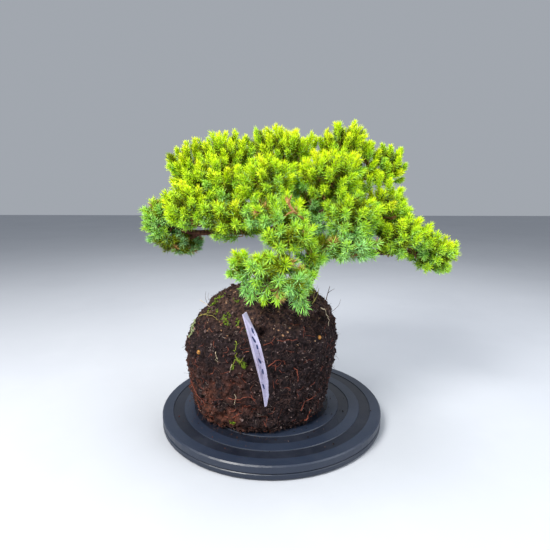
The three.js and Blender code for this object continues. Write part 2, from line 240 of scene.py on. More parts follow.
def blend_colours(tree, share, first, second):
    """A colour mix; each of the three is a socket or a plain value."""
    made = add(tree, "Mix", data_type="RGBA", blend_type="MIX")
    feed(tree, (made.inputs[0], made.inputs[6], made.inputs[7]), (share, first, second))
    return made.outputs[2]


def sums(tree, operation, first, second=0.5, clamp=False):
    """One operation on two values; each is a socket or a plain number."""
    made = add(tree, "Math", operation=operation, use_clamp=clamp)
    feed(tree, made.inputs, (first, second))
    return made.outputs[0]


def product(tree, first, second):
    return sums(tree, "MULTIPLY", first, second)


def stepped(tree, value, low, high, start=0.0, end=1.0):
    """Carries value smoothly from start at low to end at high."""
    made = add(tree, "MapRange", interpolation_type="SMOOTHSTEP")
    feed(tree, made.inputs, (value, low, high, start, end))
    return made.outputs[0]


def object_place(tree):
    """The place on the object, in its own frame, as a vector."""
    return add(tree, "TexCoord").outputs["Object"]


def noise(tree, scale, detail=4.0, roughness=0.6, distortion=0.0, vector=None):
    """Noise from 0 to 1 over the object's own place, or over another vector."""
    made = add(tree, "TexNoise")
    keys = ("Scale", "Detail", "Roughness", "Distortion")
    feed(tree, [made.inputs[k] for k in keys], (scale, detail, roughness, distortion))
    wire(tree, object_place(tree) if vector is None else vector, made.inputs["Vector"])
    return made.outputs["Fac"]


def cells_of(tree, scale):
    """A cell texture: its node, and one random number for each cell."""
    cells = add(tree, "TexVoronoi")
    feed(tree, [cells.inputs["Scale"]], [scale])
    wire(tree, object_place(tree), cells.inputs["Vector"])
    split = add(tree, "SeparateColor")
    wire(tree, cells.outputs["Color"], split.inputs[0])
    return cells, split.outputs[0]


def axes_of(tree, vector):
    """The three numbers of a vector."""
    split = add(tree, "SeparateXYZ")
    wire(tree, vector, split.inputs[0])
    return split.outputs


def ramp_of(tree, value, rows):
    """A colour ramp that value runs along. rows: (place, colour)."""
    ramp = add(tree, "ValToRGB")
    wire(tree, value, ramp.inputs[0])
    stops = ramp.color_ramp.elements
    while len(stops) < len(rows):
        stops.new(0.5)
    for stop, (position, tone) in zip(stops, rows):
        stop.position = position
        stop.color = tone
    return ramp.outputs[0]


# %% Group: a colour that wanders between three tones
GREY = (0.5, 0.5, 0.5, 1.0)
DARK_TO_MIDDLE = (0.30, 0.52)  # noise values between which the tone changes
MIDDLE_TO_LIGHT = (0.52, 0.72)
MOTTLE, given, out = new_group(
    "mottle",
    [("Scale", "Float", 100.0), ("Dark", "Color", GREY), ("Middle", "Color", GREY), ("Light", "Color", GREY)],
    [("Color", "Color"), ("Value", "Float")],
)
wander = noise(MOTTLE, given.outputs["Scale"], detail=6.0, roughness=0.65)
dark_share = stepped(MOTTLE, wander, *DARK_TO_MIDDLE)
lower = blend_colours(MOTTLE, dark_share, given.outputs["Dark"], given.outputs["Middle"])
upper = blend_colours(MOTTLE, stepped(MOTTLE, wander, *MIDDLE_TO_LIGHT), lower, given.outputs["Light"])
wire(MOTTLE, upper, out.inputs["Color"])
wire(MOTTLE, wander, out.inputs["Value"])

# %% Group: specks of another colour
SPECKS, given, out = new_group(
    "specks",
    [
        ("Under", "Color", GREY),
        ("Speck", "Color", GREY),
        ("Scale", "Float", 400.0),
        ("Size", "Float", 0.2),
        ("Share", "Float", 0.3),
    ],
    [("Color", "Color"), ("Mask", "Float")],
)
cells, draw = cells_of(SPECKS, given.outputs["Scale"])
close = sums(SPECKS, "LESS_THAN", cells.outputs["Distance"], given.outputs["Size"])
chosen = sums(SPECKS, "LESS_THAN", draw, given.outputs["Share"])
mask = product(SPECKS, close, chosen)
wire(SPECKS, blend_colours(SPECKS, mask, given.outputs["Under"], given.outputs["Speck"]), out.inputs["Color"])
wire(SPECKS, mask, out.inputs["Mask"])

# %% Group: dust on what faces up
FACING_UP = (-0.2, 1.0, 0.35, 1.0)  # from about a third of the dust on a wall to all of it on a flat
PATCHY = (0.35, 0.75)  # noise values between which the dust comes in
DUST, given, out = new_group(
    "dust",
    [("Under", "Color", GREY), ("Dust", "Color", GREY), ("Amount", "Float", 0.3), ("Scale", "Float", 60.0)],
    [("Color", "Color"), ("Mask", "Float")],
)
upward = axes_of(DUST, add(DUST, "NewGeometry").outputs["Normal"])[2]
patches = stepped(DUST, noise(DUST, given.outputs["Scale"], detail=8.0, roughness=0.7), *PATCHY)
flat_parts = product(DUST, stepped(DUST, upward, *FACING_UP), patches)
amount = sums(DUST, "MULTIPLY", flat_parts, given.outputs["Amount"], clamp=True)
wire(DUST, blend_colours(DUST, amount, given.outputs["Under"], given.outputs["Dust"]), out.inputs["Color"])
wire(DUST, amount, out.inputs["Mask"])


def use_group(tree, group, **values):
    """Places a group. Each value is a socket or a plain value."""
    made = add(tree, "Group", node_tree=group)
    feed(tree, [made.inputs[key] for key in values], values.values())
    return made


def new_material(name, roughness=0.6, **plain):
    """A material and its shader, with plain values set on the shader's own sockets."""
    made = bpy.data.materials.new(name)
    made.use_nodes = True
    shader = made.node_tree.nodes["Principled BSDF"]
    shader.inputs["Roughness"].default_value = roughness
    for key, value in plain.items():
        shader.inputs[key.replace("_", " ")].default_value = value
    return made, made.node_tree, shader


def bump(tree, shader, height, strength, distance):
    """Bumps the shader's surface by a height; distance is its depth in metres."""
    made = add(tree, "Bump")
    made.inputs["Strength"].default_value = strength
    made.inputs["Distance"].default_value = distance
    wire(tree, height, made.inputs["Height"])
    wire(tree, made.outputs["Normal"], shader.inputs["Normal"])


def mottle(tree, scale, dark, middle, light):
    """The group of three tones, given as plain red, green and blue."""
    return use_group(tree, MOTTLE, Scale=scale, Dark=(*dark, 1), Middle=(*middle, 1), Light=(*light, 1))


def mottled(name, roughness, specular, scale, tones, grain=None):
    """A material of three tones. grain: scale, detail, strength and depth in metres of its bump."""
    made, tree, shader = new_material(name, roughness, Specular_IOR_Level=specular)
    wire(tree, mottle(tree, scale, *tones).outputs[0], shader.inputs["Base Color"])
    if grain:
        grain_scale, detail, strength, depth = grain
        bump(tree, shader, noise(tree, grain_scale, detail=detail), strength, depth)
    return made


print("shader groups:", [g.name for g in bpy.data.node_groups])

# %% [markdown]
# ## Turntable
# The two plates already have their true shape in the solid model, so they keep it and only get a
# finish: black moulded plastic. The rings differ in finish as well as in height. The raised ones are
# satin and greyer, the sunken ones darker, and soil dust lies on both. The rings are told apart by
# their distance from the swivel axis, so the pattern stays with the plate as it turns.

# %% Black plastic
RING_PITCH = 12 * MM
TABLE_RADIUS = 125 * MM
SCUFFED = (0.024, 0.034, 0.060, 1)
HOUSE_DUST = (0.060, 0.058, 0.066, 1)
SOIL_SPECK = (0.050, 0.038, 0.036, 1)


def plastic_material(name, satin, sunken, dust_amount):
    made, tree, shader = new_material(name, Specular_IOR_Level=0.48)
    x, y, _ = axes_of(tree, object_place(tree))
    radius = sums(tree, "SQRT", sums(tree, "ADD", product(tree, x, x), product(tree, y, y)))
    inward = sums(tree, "SUBTRACT", TABLE_RADIUS, radius)
    turn = sums(tree, "MODULO", inward, 2 * RING_PITCH)
    groove = stepped(tree, turn, RING_PITCH * 0.99, RING_PITCH * 1.01)
    ring = blend_colours(tree, groove, satin, sunken)
    cloud = noise(tree, 35.0, detail=5.0)
    shaded = blend_colours(tree, stepped(tree, cloud, 0.3, 0.8, 0.0, 0.22), ring, SCUFFED)
    dusty = use_group(tree, DUST, Under=shaded, Dust=HOUSE_DUST, Amount=dust_amount, Scale=90.0)
    under = dusty.outputs[0]
    grit = use_group(tree, SPECKS, Under=under, Speck=SOIL_SPECK, Scale=520.0, Size=0.14, Share=0.12)
    wire(tree, grit.outputs[0], shader.inputs["Base Color"])
    satin_to_worn = stepped(tree, cloud, 0.25, 0.8, 0.36, 0.54)
    wire(tree, sums(tree, "ADD", satin_to_worn, product(tree, groove, 0.08)), shader.inputs["Roughness"])
    bump(tree, shader, noise(tree, 1600.0, detail=2.0), 0.10, 0.2 * MM)
    return made


RAISED = (0.012, 0.019, 0.037, 1)
SUNKEN = (0.0020, 0.0040, 0.011, 1)
PLAIN = (0.007, 0.013, 0.028, 1)
TOP_PLASTIC = plastic_material("ringed_black_plastic", RAISED, SUNKEN, 0.08)
BASE_PLASTIC = plastic_material("plain_black_plastic", PLAIN, PLAIN, 0.05)


# %% Steel, nylon and rubber inside and under it
def worn_material(name, dark, light, scale, roughness, metallic=0.0, bump_strength=0.1):
    made, tree, shader = new_material(name, Metallic=metallic)
    tones = mottle(tree, scale, dark, light, light)
    wire(tree, tones.outputs[0], shader.inputs["Base Color"])
    uneven = stepped(tree, tones.outputs[1], 0.3, 0.7, roughness - 0.08, roughness + 0.1)
    wire(tree, uneven, shader.inputs["Roughness"])
    bump(tree, shader, noise(tree, scale * 8, detail=3.0), bump_strength, 0.2 * MM)
    return made


STEEL = worn_material("bearing_steel", (0.42, 0.43, 0.45), (0.60, 0.62, 0.65), 150.0, 0.28, 1.0, 0.03)
NYLON = worn_material("cage_nylon", (0.55, 0.54, 0.48), (0.72, 0.71, 0.66), 120.0, 0.45)
RUBBER = worn_material("foot_rubber", (0.012, 0.012, 0.013), (0.030, 0.030, 0.032), 200.0, 0.8)

FINISHES = {
    "turntable_top_plate": TOP_PLASTIC,
    "turntable_base_plate": BASE_PLASTIC,
    "retaining_washer": STEEL,
    "centre_screw": STEEL,
    "ball_cage": NYLON,
}
FINISHES.update({n: STEEL for n in NODES if n.startswith("bearing_ball")})
FINISHES.update({n: RUBBER for n in NODES if n.startswith("rubber_foot")})

for node, material in FINISHES.items():
    put_on(NODES[node], material, smooth=False)
print("finished solids:", len(FINISHES))

# %% [markdown]
# ## Root ball
# Peat, bark crumbs and roots, matted together in the shape of the pot. The solid gives the shape. Its
# copy is remeshed to small even cells and pushed in and out by four procedural textures, from lumps
# the size of a thumb down to crumbs. A few pores are pressed in where the ball has them. Sculpting by
# hand would give the same, but this can be tuned. Loose crumbs and roots are added afterwards as
# pieces of their own, because a push along the normal can't make a root that lifts off the surface.

# %% Soil material
RUST_LEFT = (0.0, -0.055)  # metres along X between which rust comes in
RUST_LOW = (0.150, 0.095)  # metres of height, made uneven
DRY_HIGH = (0.112, 0.145)  # metres of height between which dry soil comes in
PEAT_TONES = ((0.0018, 0.0010, 0.0011), (0.0085, 0.0045, 0.0052), (0.0310, 0.0185, 0.0200))
FIBRE_TONES = ((0.0020, 0.0011, 0.0012), (0.0115, 0.0063, 0.0072), (0.0760, 0.0500, 0.0560))
PALE_GRIT = (0.17, 0.125, 0.13, 1)
# (place along the ramp, tone), from near black to pale mauve-brown
CRUMB_TONES = [
    (0.0, (0.0025, 0.0014, 0.0014, 1)),
    (0.45, (0.0110, 0.0058, 0.0056, 1)),
    (0.75, (0.0330, 0.0180, 0.0165, 1)),
    (0.92, (0.0700, 0.0420, 0.0400, 1)),
    (1.0, (0.2000, 0.1450, 0.1350, 1)),
]


def rusted_and_dried(tree, colour, rust, dry):
    """Turns soil rust-red low on the left, and paler where it has dried, on the mound."""
    x, _, z = axes_of(tree, object_place(tree))
    uneven = product(tree, noise(tree, 24.0, detail=6.0), 0.09)
    low = stepped(tree, sums(tree, "ADD", z, uneven), *RUST_LOW)
    wander = stepped(tree, noise(tree, 75.0, detail=6.0), 0.40, 0.62)
    rusty = product(tree, product(tree, stepped(tree, x, *RUST_LEFT), low), wander)
    patchy = stepped(tree, noise(tree, 260.0, detail=4.0), 0.42, 0.60)
    high = product(tree, stepped(tree, z, *DRY_HIGH), patchy)
    redder = blend_colours(tree, product(tree, rusty, 0.75), colour, rust)
    return blend_colours(tree, product(tree, high, 0.7), redder, dry)


def soil_material(name):
    """Peat crossed by fine fibres, with pale grit."""
    made, tree, shader = new_material(name, 0.92, Specular_IOR_Level=0.2)
    peat = mottle(tree, 150.0, *PEAT_TONES)
    fibres = mottle(tree, 460.0, *FIBRE_TONES)
    both = blend_colours(tree, 0.55, peat.outputs[0], fibres.outputs[0])
    under = rusted_and_dried(tree, both, (0.100, 0.034, 0.020, 1), (0.085, 0.046, 0.033, 1))
    grit = use_group(tree, SPECKS, Under=under, Speck=PALE_GRIT, Scale=440.0, Size=0.17, Share=0.13)
    wire(tree, grit.outputs[0], shader.inputs["Base Color"])
    fine = sums(tree, "ADD", noise(tree, 900.0, detail=5.0), peat.outputs[1])
    bump(tree, shader, fine, 0.6, 0.8 * MM)
    return made


def crumb_material():
    """Each crumb has a tone of its own."""
    made, tree, shader = new_material("peat_crumbs", 0.9, Specular_IOR_Level=0.2)
    _, draw = cells_of(tree, 330.0)
    own = ramp_of(tree, draw, CRUMB_TONES)
    drier = rusted_and_dried(tree, own, (0.130, 0.042, 0.024, 1), (0.110, 0.062, 0.046, 1))
    wire(tree, drier, shader.inputs["Base Color"])
    bump(tree, shader, noise(tree, 1300.0, detail=4.0), 0.5, 0.4 * MM)
    return made


SOIL = soil_material("peat_and_roots")
CRUMBLY = crumb_material()

# %% Root ball surface
SOIL_CELL = 1.22 * MM
# (texture kind, size of the lumps, how far they push), both in mm
SOIL_TEXTURES = [
    ("CLOUDS", 22, 5.0),
    ("CLOUDS", 8.0, 6.5),
    ("VORONOI", 4.8, 3.4),
    ("CLOUDS", 2.6, 3.0),
]
SOIL_MIDDLE = 0.62  # the texture value that moves nothing: most of the surface sinks a little

root_ball = copy_of_solid("root_ball", "root_ball_soil")
root_ball.data.remesh_voxel_size = SOIL_CELL
bpy.ops.object.voxel_remesh()
print("root ball cells:", len(root_ball.data.polygons))

# The soil is pushed less and less towards the label and the pellets, which stay where they are.
CALM_REACH = 5.5 * MM
PELLETS = ("fertiliser_pellet_left", "fertiliser_pellet_right")
still_trees = [tree_of(NODES[n]) for n in ("plant_label", *PELLETS)]
calm = root_ball.vertex_groups.new(name="free_to_move")
calm.add(list(range(len(root_ball.data.vertices))), 1.0, "REPLACE")
for vertex in root_ball.data.vertices:
    near = [f[3] for tree in still_trees if (f := tree.find_nearest(vertex.co, CALM_REACH))[0]]
    if near:
        calm.add([vertex.index], min(near) / CALM_REACH, "REPLACE")

for index, (kind, size, push) in enumerate(SOIL_TEXTURES):
    roughen(root_ball, f"soil_{index}", kind, size * MM, push * MM, SOIL_MIDDLE, calm.name)
apply_all(root_ball)


def keep_above(obj, height):
    """No corner lies lower than height: the piece stands flat on what is under it."""
    places = corners_of(obj)
    places[:, 2] = np.maximum(places[:, 2], height)
    move_corners(obj, places)


SOIL_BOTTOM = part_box("root_ball")[0].z
# (place, radius, depth) in metres: pores where a root or a bark chip has fallen out
PORES = [
    ((0.0506, -0.0511, 0.1314), 0.0085, 0.0120),
    ((0.0440, -0.0600, 0.1230), 0.0070, 0.0090),
    ((-0.0075, -0.0829, 0.1274), 0.0065, 0.0100),
    ((0.0210, -0.0730, 0.1330), 0.0075, 0.0070),
    ((0.0330, -0.0680, 0.1260), 0.0045, 0.0050),
    ((-0.0150, -0.0800, 0.1100), 0.0040, 0.0045),
    ((0.0100, -0.0840, 0.0950), 0.0040, 0.0040),
    ((0.0400, -0.0680, 0.0700), 0.0045, 0.0045),
    ((-0.0600, -0.0700, 0.0700), 0.0045, 0.0045),
    ((-0.0500, -0.0760, 0.0460), 0.0040, 0.0040),
    ((0.0200, -0.0760, 0.0350), 0.0050, 0.0045),
]


def press_pores(obj, pores):
    """Sinks round pores into a surface, straight in along its normal."""
    places = corners_of(obj)
    surface = tree_of(obj)
    for place, radius, depth in pores:
        near, normal, _, _ = surface.find_nearest(Vector(place))
        away = np.linalg.norm(places - np.array(near), axis=1) / radius
        places -= np.array(normal) * (depth * np.clip(1 - away**2, 0, 1))[:, None]
    move_corners(obj, places)


press_pores(root_ball, PORES)
keep_above(root_ball, SOIL_BOTTOM)
put_on(root_ball, SOIL)
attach(root_ball, "top")
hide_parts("root_ball")

# %% Where things sit on the soil
soil_tree = tree_of(root_ball)
soil_corners = corners_of(root_ball)
soil_triangles = triangles_of(root_ball)


def scatter(corners, triangles, count, rng, keep=None):
    """Random points on a surface with their normals, evenly by area. keep says which to keep."""
    a, b, c = (corners[triangles[:, k]] for k in range(3))
    across = np.cross(b - a, c - a)
    area = np.linalg.norm(across, axis=1)
    chosen = rng.choice(len(triangles), count, p=area / area.sum())
    u, v = rng.random((2, count, 1))
    over = (u + v) > 1
    u, v = np.where(over, 1 - u, u), np.where(over, 1 - v, v)
    points = a[chosen] + u * (b[chosen] - a[chosen]) + v * (c[chosen] - a[chosen])
    normals = unit(across[chosen])
    if keep is None:
        return points, normals
    wanted = keep(points, normals)
    return points[wanted], normals[wanted]


def on_soil(count, rng, keep):
    """Random points on the root ball with their normals."""
    return scatter(soil_corners, soil_triangles, count, rng, keep)


# %% [markdown]
# ## Crumbs
# Loose crumbs of peat cling to the wall and lie round its foot. One crumb is modelled from an
# icosphere whose corners are jittered, and it is then copied by the thousand, each copy turned, sized
# and squashed in its own way. A particle system would do the same, but the copies would not be one
# mesh.

# %% Crumbs
def model_crumb():
    """Corners and triangles of one rough crumb, one metre across."""
    bpy.ops.mesh.primitive_ico_sphere_add(subdivisions=1, radius=0.5)
    crumb = bpy.context.active_object
    bpy.ops.object.mode_set(mode="EDIT")
    bpy.ops.mesh.select_all(action="SELECT")
    bpy.ops.transform.vertex_random(offset=0.22, seed=4)
    bpy.ops.object.mode_set(mode="OBJECT")
    shape = corners_of(crumb), triangles_of(crumb)
    bpy.data.objects.remove(crumb)
    return shape


def random_turns(count, rng):
    """Random rotation matrices."""
    first = unit(rng.normal(size=(count, 3)))
    second = unit(np.cross(first, rng.normal(size=(count, 3))))
    return np.stack([first, second, np.cross(first, second)], axis=2)


def copies(shape, places, turns, sizes):
    """One mesh of many copies of a shape. sizes holds three scales for each copy."""
    corners, triangles = shape
    moved = np.einsum("nij,nkj->nki", turns, corners[None] * sizes[:, None, :]) + places[:, None, :]
    shift = (np.arange(len(places)) * len(corners))[:, None, None]
    return moved.reshape(-1, 3), (triangles[None] + shift).reshape(-1, 3)


rng = np.random.default_rng(11)
CRUMB = model_crumb()
CRUMBS = 9900


def clear_of_label(places, distance=1.6 * MM):
    """True for each place that is not close to the label or a pellet."""
    seen = [[t.find_nearest(Vector(p), distance)[0] is None for t in still_trees] for p in places]
    return np.all(seen, axis=1)


points, normals = on_soil(CRUMBS, rng, lambda p, n: p[:, 2] > SOIL_BOTTOM + 1.5 * MM)
in_pore = np.array([min(np.linalg.norm(p - np.array(m)) / r for m, r, _ in PORES) < 1.1 for p in points])
clear = clear_of_label(points) & ~in_pore
points, normals = points[clear], normals[clear]
sizes = rng.gamma(2.0, 0.72, (len(points), 1)).clip(0.6, 4.6) * MM * rng.uniform(0.7, 1.3, (len(points), 3))
turns = random_turns(len(points), rng)
grains = copies(CRUMB, points + normals * 0.1 * MM, turns, sizes)
piece("soil_crumbs", *grains, CRUMBLY, "peat_and_roots")

# %% [markdown]
# ## Roots
# A pot-bound root ball is wrapped in its own roots. Most are dark; the younger ones are rust-red and
# densest low on the left, and short pale ends show all over. Each root is a thin tube along a
# wandering line that keeps to the soil's surface. A curve object for each would work too, but one
# mesh for each kind is lighter and rides as one piece.


# %% Tubes along lines
def tubes(lines, radii, sides=4):
    """Closed tubes along lines: lines is (count, steps, 3) and radii is (count, steps)."""
    count, steps, _ = lines.shape
    heading = unit(np.gradient(lines, axis=1))
    first, second = square_to(heading)
    angle = np.arange(sides) * 2 * math.pi / sides
    ring = (
        first[:, :, None, :] * np.cos(angle)[None, None, :, None]
        + second[:, :, None, :] * np.sin(angle)[None, None, :, None]
    )
    rings = lines[:, :, None, :] + ring * radii[:, :, None, None]
    ends = np.stack([lines[:, 0], lines[:, -1]], axis=1)
    corners = np.concatenate([rings.reshape(count, -1, 3), ends], axis=1)
    step, side = np.meshgrid(np.arange(steps - 1), np.arange(sides), indexing="ij")
    a = step * sides + side
    b = step * sides + (side + 1) % sides
    walls = np.stack([a, b, b + sides, a, b + sides, a + sides], axis=-1).reshape(-1, 3)
    k = np.arange(sides)
    last = (steps - 1) * sides
    start_cap = np.stack([np.full(sides, steps * sides), (k + 1) % sides, k], axis=1)
    end_cap = np.stack([np.full(sides, steps * sides + 1), last + k, last + (k + 1) % sides], axis=1)
    triangles = np.concatenate([walls, start_cap, end_cap])
    shift = (np.arange(count) * corners.shape[1])[:, None, None]
    return corners.reshape(-1, 3), (triangles[None] + shift).reshape(-1, 3)


def wander_on(tree, starts, headings, steps, step_length, curl, lift, rng):
    """Lines that wander over a surface from given starts, lifted off it by a varying height."""
    lines = np.empty((len(starts), steps, 3))
    for i, (place, heading) in enumerate(zip(starts, headings)):
        turn = rng.normal(0, curl)
        for j in range(steps):
            near, normal, _, _ = tree.find_nearest(Vector(place))
            normal = np.array(normal)
            lines[i, j] = np.array(near) + normal * lift * (0.6 + 0.8 * rng.random())
            turn = 0.75 * turn + rng.normal(0, curl)
            sideways = np.cross(normal, heading)
            heading = heading * math.cos(turn) + sideways * math.sin(turn)
            heading = unit(heading - normal * (heading @ normal))
            place = lines[i, j] + heading * step_length
    return lines


# %% Root materials
FINE_GRAIN = (1500.0, 3.0, 0.3, 0.3 * MM)
ROOT_COLOURS = {
    "dark": ((0.008, 0.004, 0.004), (0.036, 0.016, 0.013), (0.130, 0.058, 0.045)),
    "rust": ((0.060, 0.014, 0.010), (0.180, 0.040, 0.022), (0.360, 0.100, 0.050)),
    "pale": ((0.100, 0.070, 0.060), (0.260, 0.200, 0.170), (0.480, 0.400, 0.340)),
}
ROOT_MATERIALS = {
    kind: mottled(f"{kind}_roots", 0.75, 0.3, 260.0, tones, FINE_GRAIN)
    for kind, tones in ROOT_COLOURS.items()
}

# %% Roots on the wall
# kind: (seed, count, steps, length of a step, curl, half width, lift), the lengths in metres
ROOTS = {
    "dark": (21, 1500, 10, 2.2 * MM, 0.34, 0.20 * MM, 0.6 * MM),
    "rust": (22, 480, 8, 1.7 * MM, 0.18, 0.20 * MM, 0.5 * MM),
    "pale": (23, 420, 5, 1.1 * MM, 0.30, 0.12 * MM, 0.7 * MM),
}
TRIES = 4  # points drawn for each root or flake, before those in the wrong place are dropped


def rust_grows(points, rng):
    """Which points carry a rust-red root: mostly low and to the left, few near the top."""
    height = (points[:, 2] - SOIL_BOTTOM) / (100 * MM)
    leftness = (30 * MM - points[:, 0]) / (100 * MM)
    likely = 0.20 + 0.55 * np.clip(leftness, 0, 1) * np.clip(1.15 - height, 0, 1)
    return (rng.random(len(points)) < likely) & (points[:, 2] > SOIL_BOTTOM + 3 * MM) & (height < 1.15)


def on_wall(points, normals):
    """Which points lie neither under the root ball nor on the very top of its mound."""
    return (points[:, 2] > SOIL_BOTTOM + 2 * MM) & (points[:, 2] < SOIL_BOTTOM + 138 * MM)


for kind, (seed, count, steps, step_length, curl, thickness, lift) in ROOTS.items():
    rng = np.random.default_rng(seed)
    wanted = (lambda p, n: rust_grows(p, rng)) if kind == "rust" else on_wall
    points, normals = on_soil(count * TRIES, rng, wanted)
    points, normals = points[:count], normals[:count]
    headings = rng.normal(size=points.shape) * [1, 1, 0.45]
    headings = unit(headings - normals * np.sum(headings * normals, axis=1, keepdims=True))
    lines = wander_on(soil_tree, points, headings, steps, step_length, curl, lift, rng)
    lines = lines[clear_of_label(lines.reshape(-1, 3)).reshape(lines.shape[:2]).all(axis=1)]
    lines[..., 2] = np.maximum(lines[..., 2], SOIL_BOTTOM + 0.6 * MM)
    thick = thickness * rng.uniform(0.6, 1.5, (len(lines), 1)) * np.linspace(1.15, 0.45, steps)[None]
    piece(f"{kind}_roots", *tubes(lines, thick), ROOT_MATERIALS[kind], "peat_and_roots")

# %% [markdown]
# ## Wood
# Trunk and limbs grew as one piece, so they are one mesh. The solid's limbs are plain tapered tubes.
# Their copy is remeshed finely, smoothed, and then roughened all over, so that it gets the flaking
# red-brown bark of an old juniper. The same could be painted with a bump only, but then the outline
# of each limb would stay as straight as a pipe.

# %% Bark material
def bark_material():
    """Flakes stretched upwards, with dark cracks between them."""
    made, tree, shader = new_material("flaking_bark", 0.85, Specular_IOR_Level=0.25)
    stretch = add(tree, "Mapping")
    stretch.inputs["Scale"].default_value = (1.0, 1.0, 0.35)
    wire(tree, object_place(tree), stretch.inputs["Vector"])
    flakes = noise(tree, 330.0, 6.0, 0.7, 0.6, stretch.outputs[0])
    tones = mottle(tree, 210.0, (0.035, 0.014, 0.008), (0.160, 0.062, 0.030), (0.340, 0.190, 0.110))
    on_flake = stepped(tree, flakes, 0.35, 0.7)
    shaded = blend_colours(tree, on_flake, (0.030, 0.012, 0.008, 1), tones.outputs[0])
    wire(tree, shaded, shader.inputs["Base Color"])
    bump(tree, shader, flakes, 0.7, 0.8 * MM)
    return made


BARK = bark_material()

# %% Trunk and limbs
WOOD_CELL = 0.75 * MM
wood = copy_of_solid("trunk_and_limbs", "bark_and_limbs")
wood.data.remesh_voxel_size = WOOD_CELL
bpy.ops.object.voxel_remesh()
wood.modifiers.new("rounded", "SMOOTH").iterations = 3
roughen(wood, "knots", "CLOUDS", 12 * MM, 2.2 * MM, 0.5)
roughen(wood, "flakes", "VORONOI", 3.5 * MM, 0.9 * MM, 0.5)
apply_all(wood)
put_on(wood, BARK)
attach(wood, "top")
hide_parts("trunk_and_limbs")
wood_tree = tree_of(wood)
print("wood:", len(wood.data.polygons), "cells")

# %% [markdown]
# ## Foliage: one needle
# Every needle is a sharp awl, about 5 to 10 mm long, flat above and keeled below. It is modelled once,
# from a cone with three sides, and then copied. Four triangles are enough for it, since there are
# nearly two hundred thousand. The needle's colours lie along a small map of its own. Across the map
# runs the shoot's tint, from a dark olive painted as shade for the inner layer, through old blue-green
# to fresh lime and then dead tan. Up the map runs the place on the needle, the underside in the lower
# half and the pale upper side in the upper half.

# %% Model the needle
def model_needle():
    """Four corners: two edges and a keel at the root, and the tip at one metre along +X."""
    lying = {"location": (0.5, 0, 0), "rotation": (0, math.pi / 2, 0)}
    bpy.ops.mesh.primitive_cone_add(vertices=3, radius1=0.5, radius2=0, depth=1, **lying)
    needle = bpy.context.active_object
    bpy.ops.object.transform_apply(location=True, rotation=True)
    shape = corners_of(needle), triangles_of(needle)
    bpy.data.objects.remove(needle)
    return shape


needle_corners, needle_triangles = model_needle()
root_corners = [k for k in range(4) if needle_corners[k, 0] < 0.5]
tip_corner = next(k for k in range(4) if needle_corners[k, 0] >= 0.5)
keel_corner = max(root_corners, key=lambda k: abs(needle_corners[k, 2]))
edge_corners = [k for k in root_corners if k != keel_corner]
if needle_corners[keel_corner, 2] > 0:
    needle_corners = needle_corners * [1, -1, -1]
edge_corners.sort(key=lambda k: needle_corners[k, 1])
print("needle corners:", needle_corners.round(2).tolist())

# %% Needle map: how far across and up each corner of each triangle lies
UPPER_HALF = 0.5
TINT_WIDTH = 0.012
# corner: (across the needle, up the half)
MAP_PLACES = {
    edge_corners[0]: (0.0, 0.02),
    edge_corners[1]: (1.0, 0.02),
    keel_corner: (0.5, 0.06),
    tip_corner: (0.5, 0.47),
}


def needle_map():
    spread = np.zeros((len(needle_triangles), 3, 2))
    for t, triangle in enumerate(needle_triangles):
        half = 0.0 if keel_corner in triangle else UPPER_HALF
        for c, corner in enumerate(triangle):
            across, up = MAP_PLACES[corner]
            spread[t, c] = (across * TINT_WIDTH, up + half)
    return spread


NEEDLE_MAP = needle_map()
FLATNESS = 0.62  # a needle's thickness as a share of its width


def needles(roots, headings, ups, lengths, widths, tints):
    """Copies of the needle: corners, triangles and map. All arguments are arrays over the needles."""
    sideways = unit(np.cross(ups, headings))
    ups = np.cross(headings, sideways)
    shape = needle_corners
    corners = (
        roots[:, None]
        + headings[:, None] * (shape[None, :, 0:1] * lengths[:, None, None])
        + sideways[:, None] * (shape[None, :, 1:2] * widths[:, None, None])
        + ups[:, None] * (shape[None, :, 2:3] * widths[:, None, None] * FLATNESS)
    )
    count = len(roots)
    triangles = needle_triangles[None] + (np.arange(count) * 4)[:, None, None]
    spread = np.repeat(NEEDLE_MAP[None], count, axis=0)
    spread[..., 0] += tints[:, None, None]
    return corners.reshape(-1, 3), triangles.reshape(-1, 3), spread.reshape(-1, 2)


# %% [markdown]
# ## Foliage: needle colours
# The colour is looked up from the map only, so that it can be baked into a small picture with nothing
# lost. Two colour ramps give the tints of a needle's root and of its tip, and the lighter tip is a
# painted highlight. The upper side of an older needle carries a pale band, widest near the root.

# %% Needle material
# (place across the map, colour at the root, colour at the tip)
# Tints near 0, a dark olive, are painted shade: the inner layer of each pad has them.
TINTS = [
    (0.00, (0.120, 0.130, 0.003, 1), (0.300, 0.400, 0.008, 1)),
    (0.06, (0.090, 0.110, 0.004, 1), (0.250, 0.380, 0.014, 1)),
    (0.14, (0.045, 0.130, 0.034, 1), (0.190, 0.430, 0.160, 1)),
    (0.30, (0.075, 0.220, 0.030, 1), (0.340, 0.760, 0.200, 1)),
    (0.46, (0.130, 0.300, 0.012, 1), (0.450, 0.840, 0.090, 1)),
    (0.62, (0.250, 0.430, 0.004, 1), (0.560, 0.860, 0.012, 1)),
    (0.80, (0.400, 0.540, 0.002, 1), (0.720, 0.900, 0.002, 1)),
    (0.90, (0.540, 0.600, 0.003, 1), (0.820, 0.940, 0.010, 1)),
    (0.93, (0.200, 0.060, 0.015, 1), (0.600, 0.260, 0.070, 1)),
    (1.00, (0.300, 0.130, 0.040, 1), (0.800, 0.520, 0.240, 1)),
]
PALE_BAND = (0.54, 0.90, 0.42, 1)
TAN_STARTS = 0.93
LIGHTEST = 0.9  # the last green tint


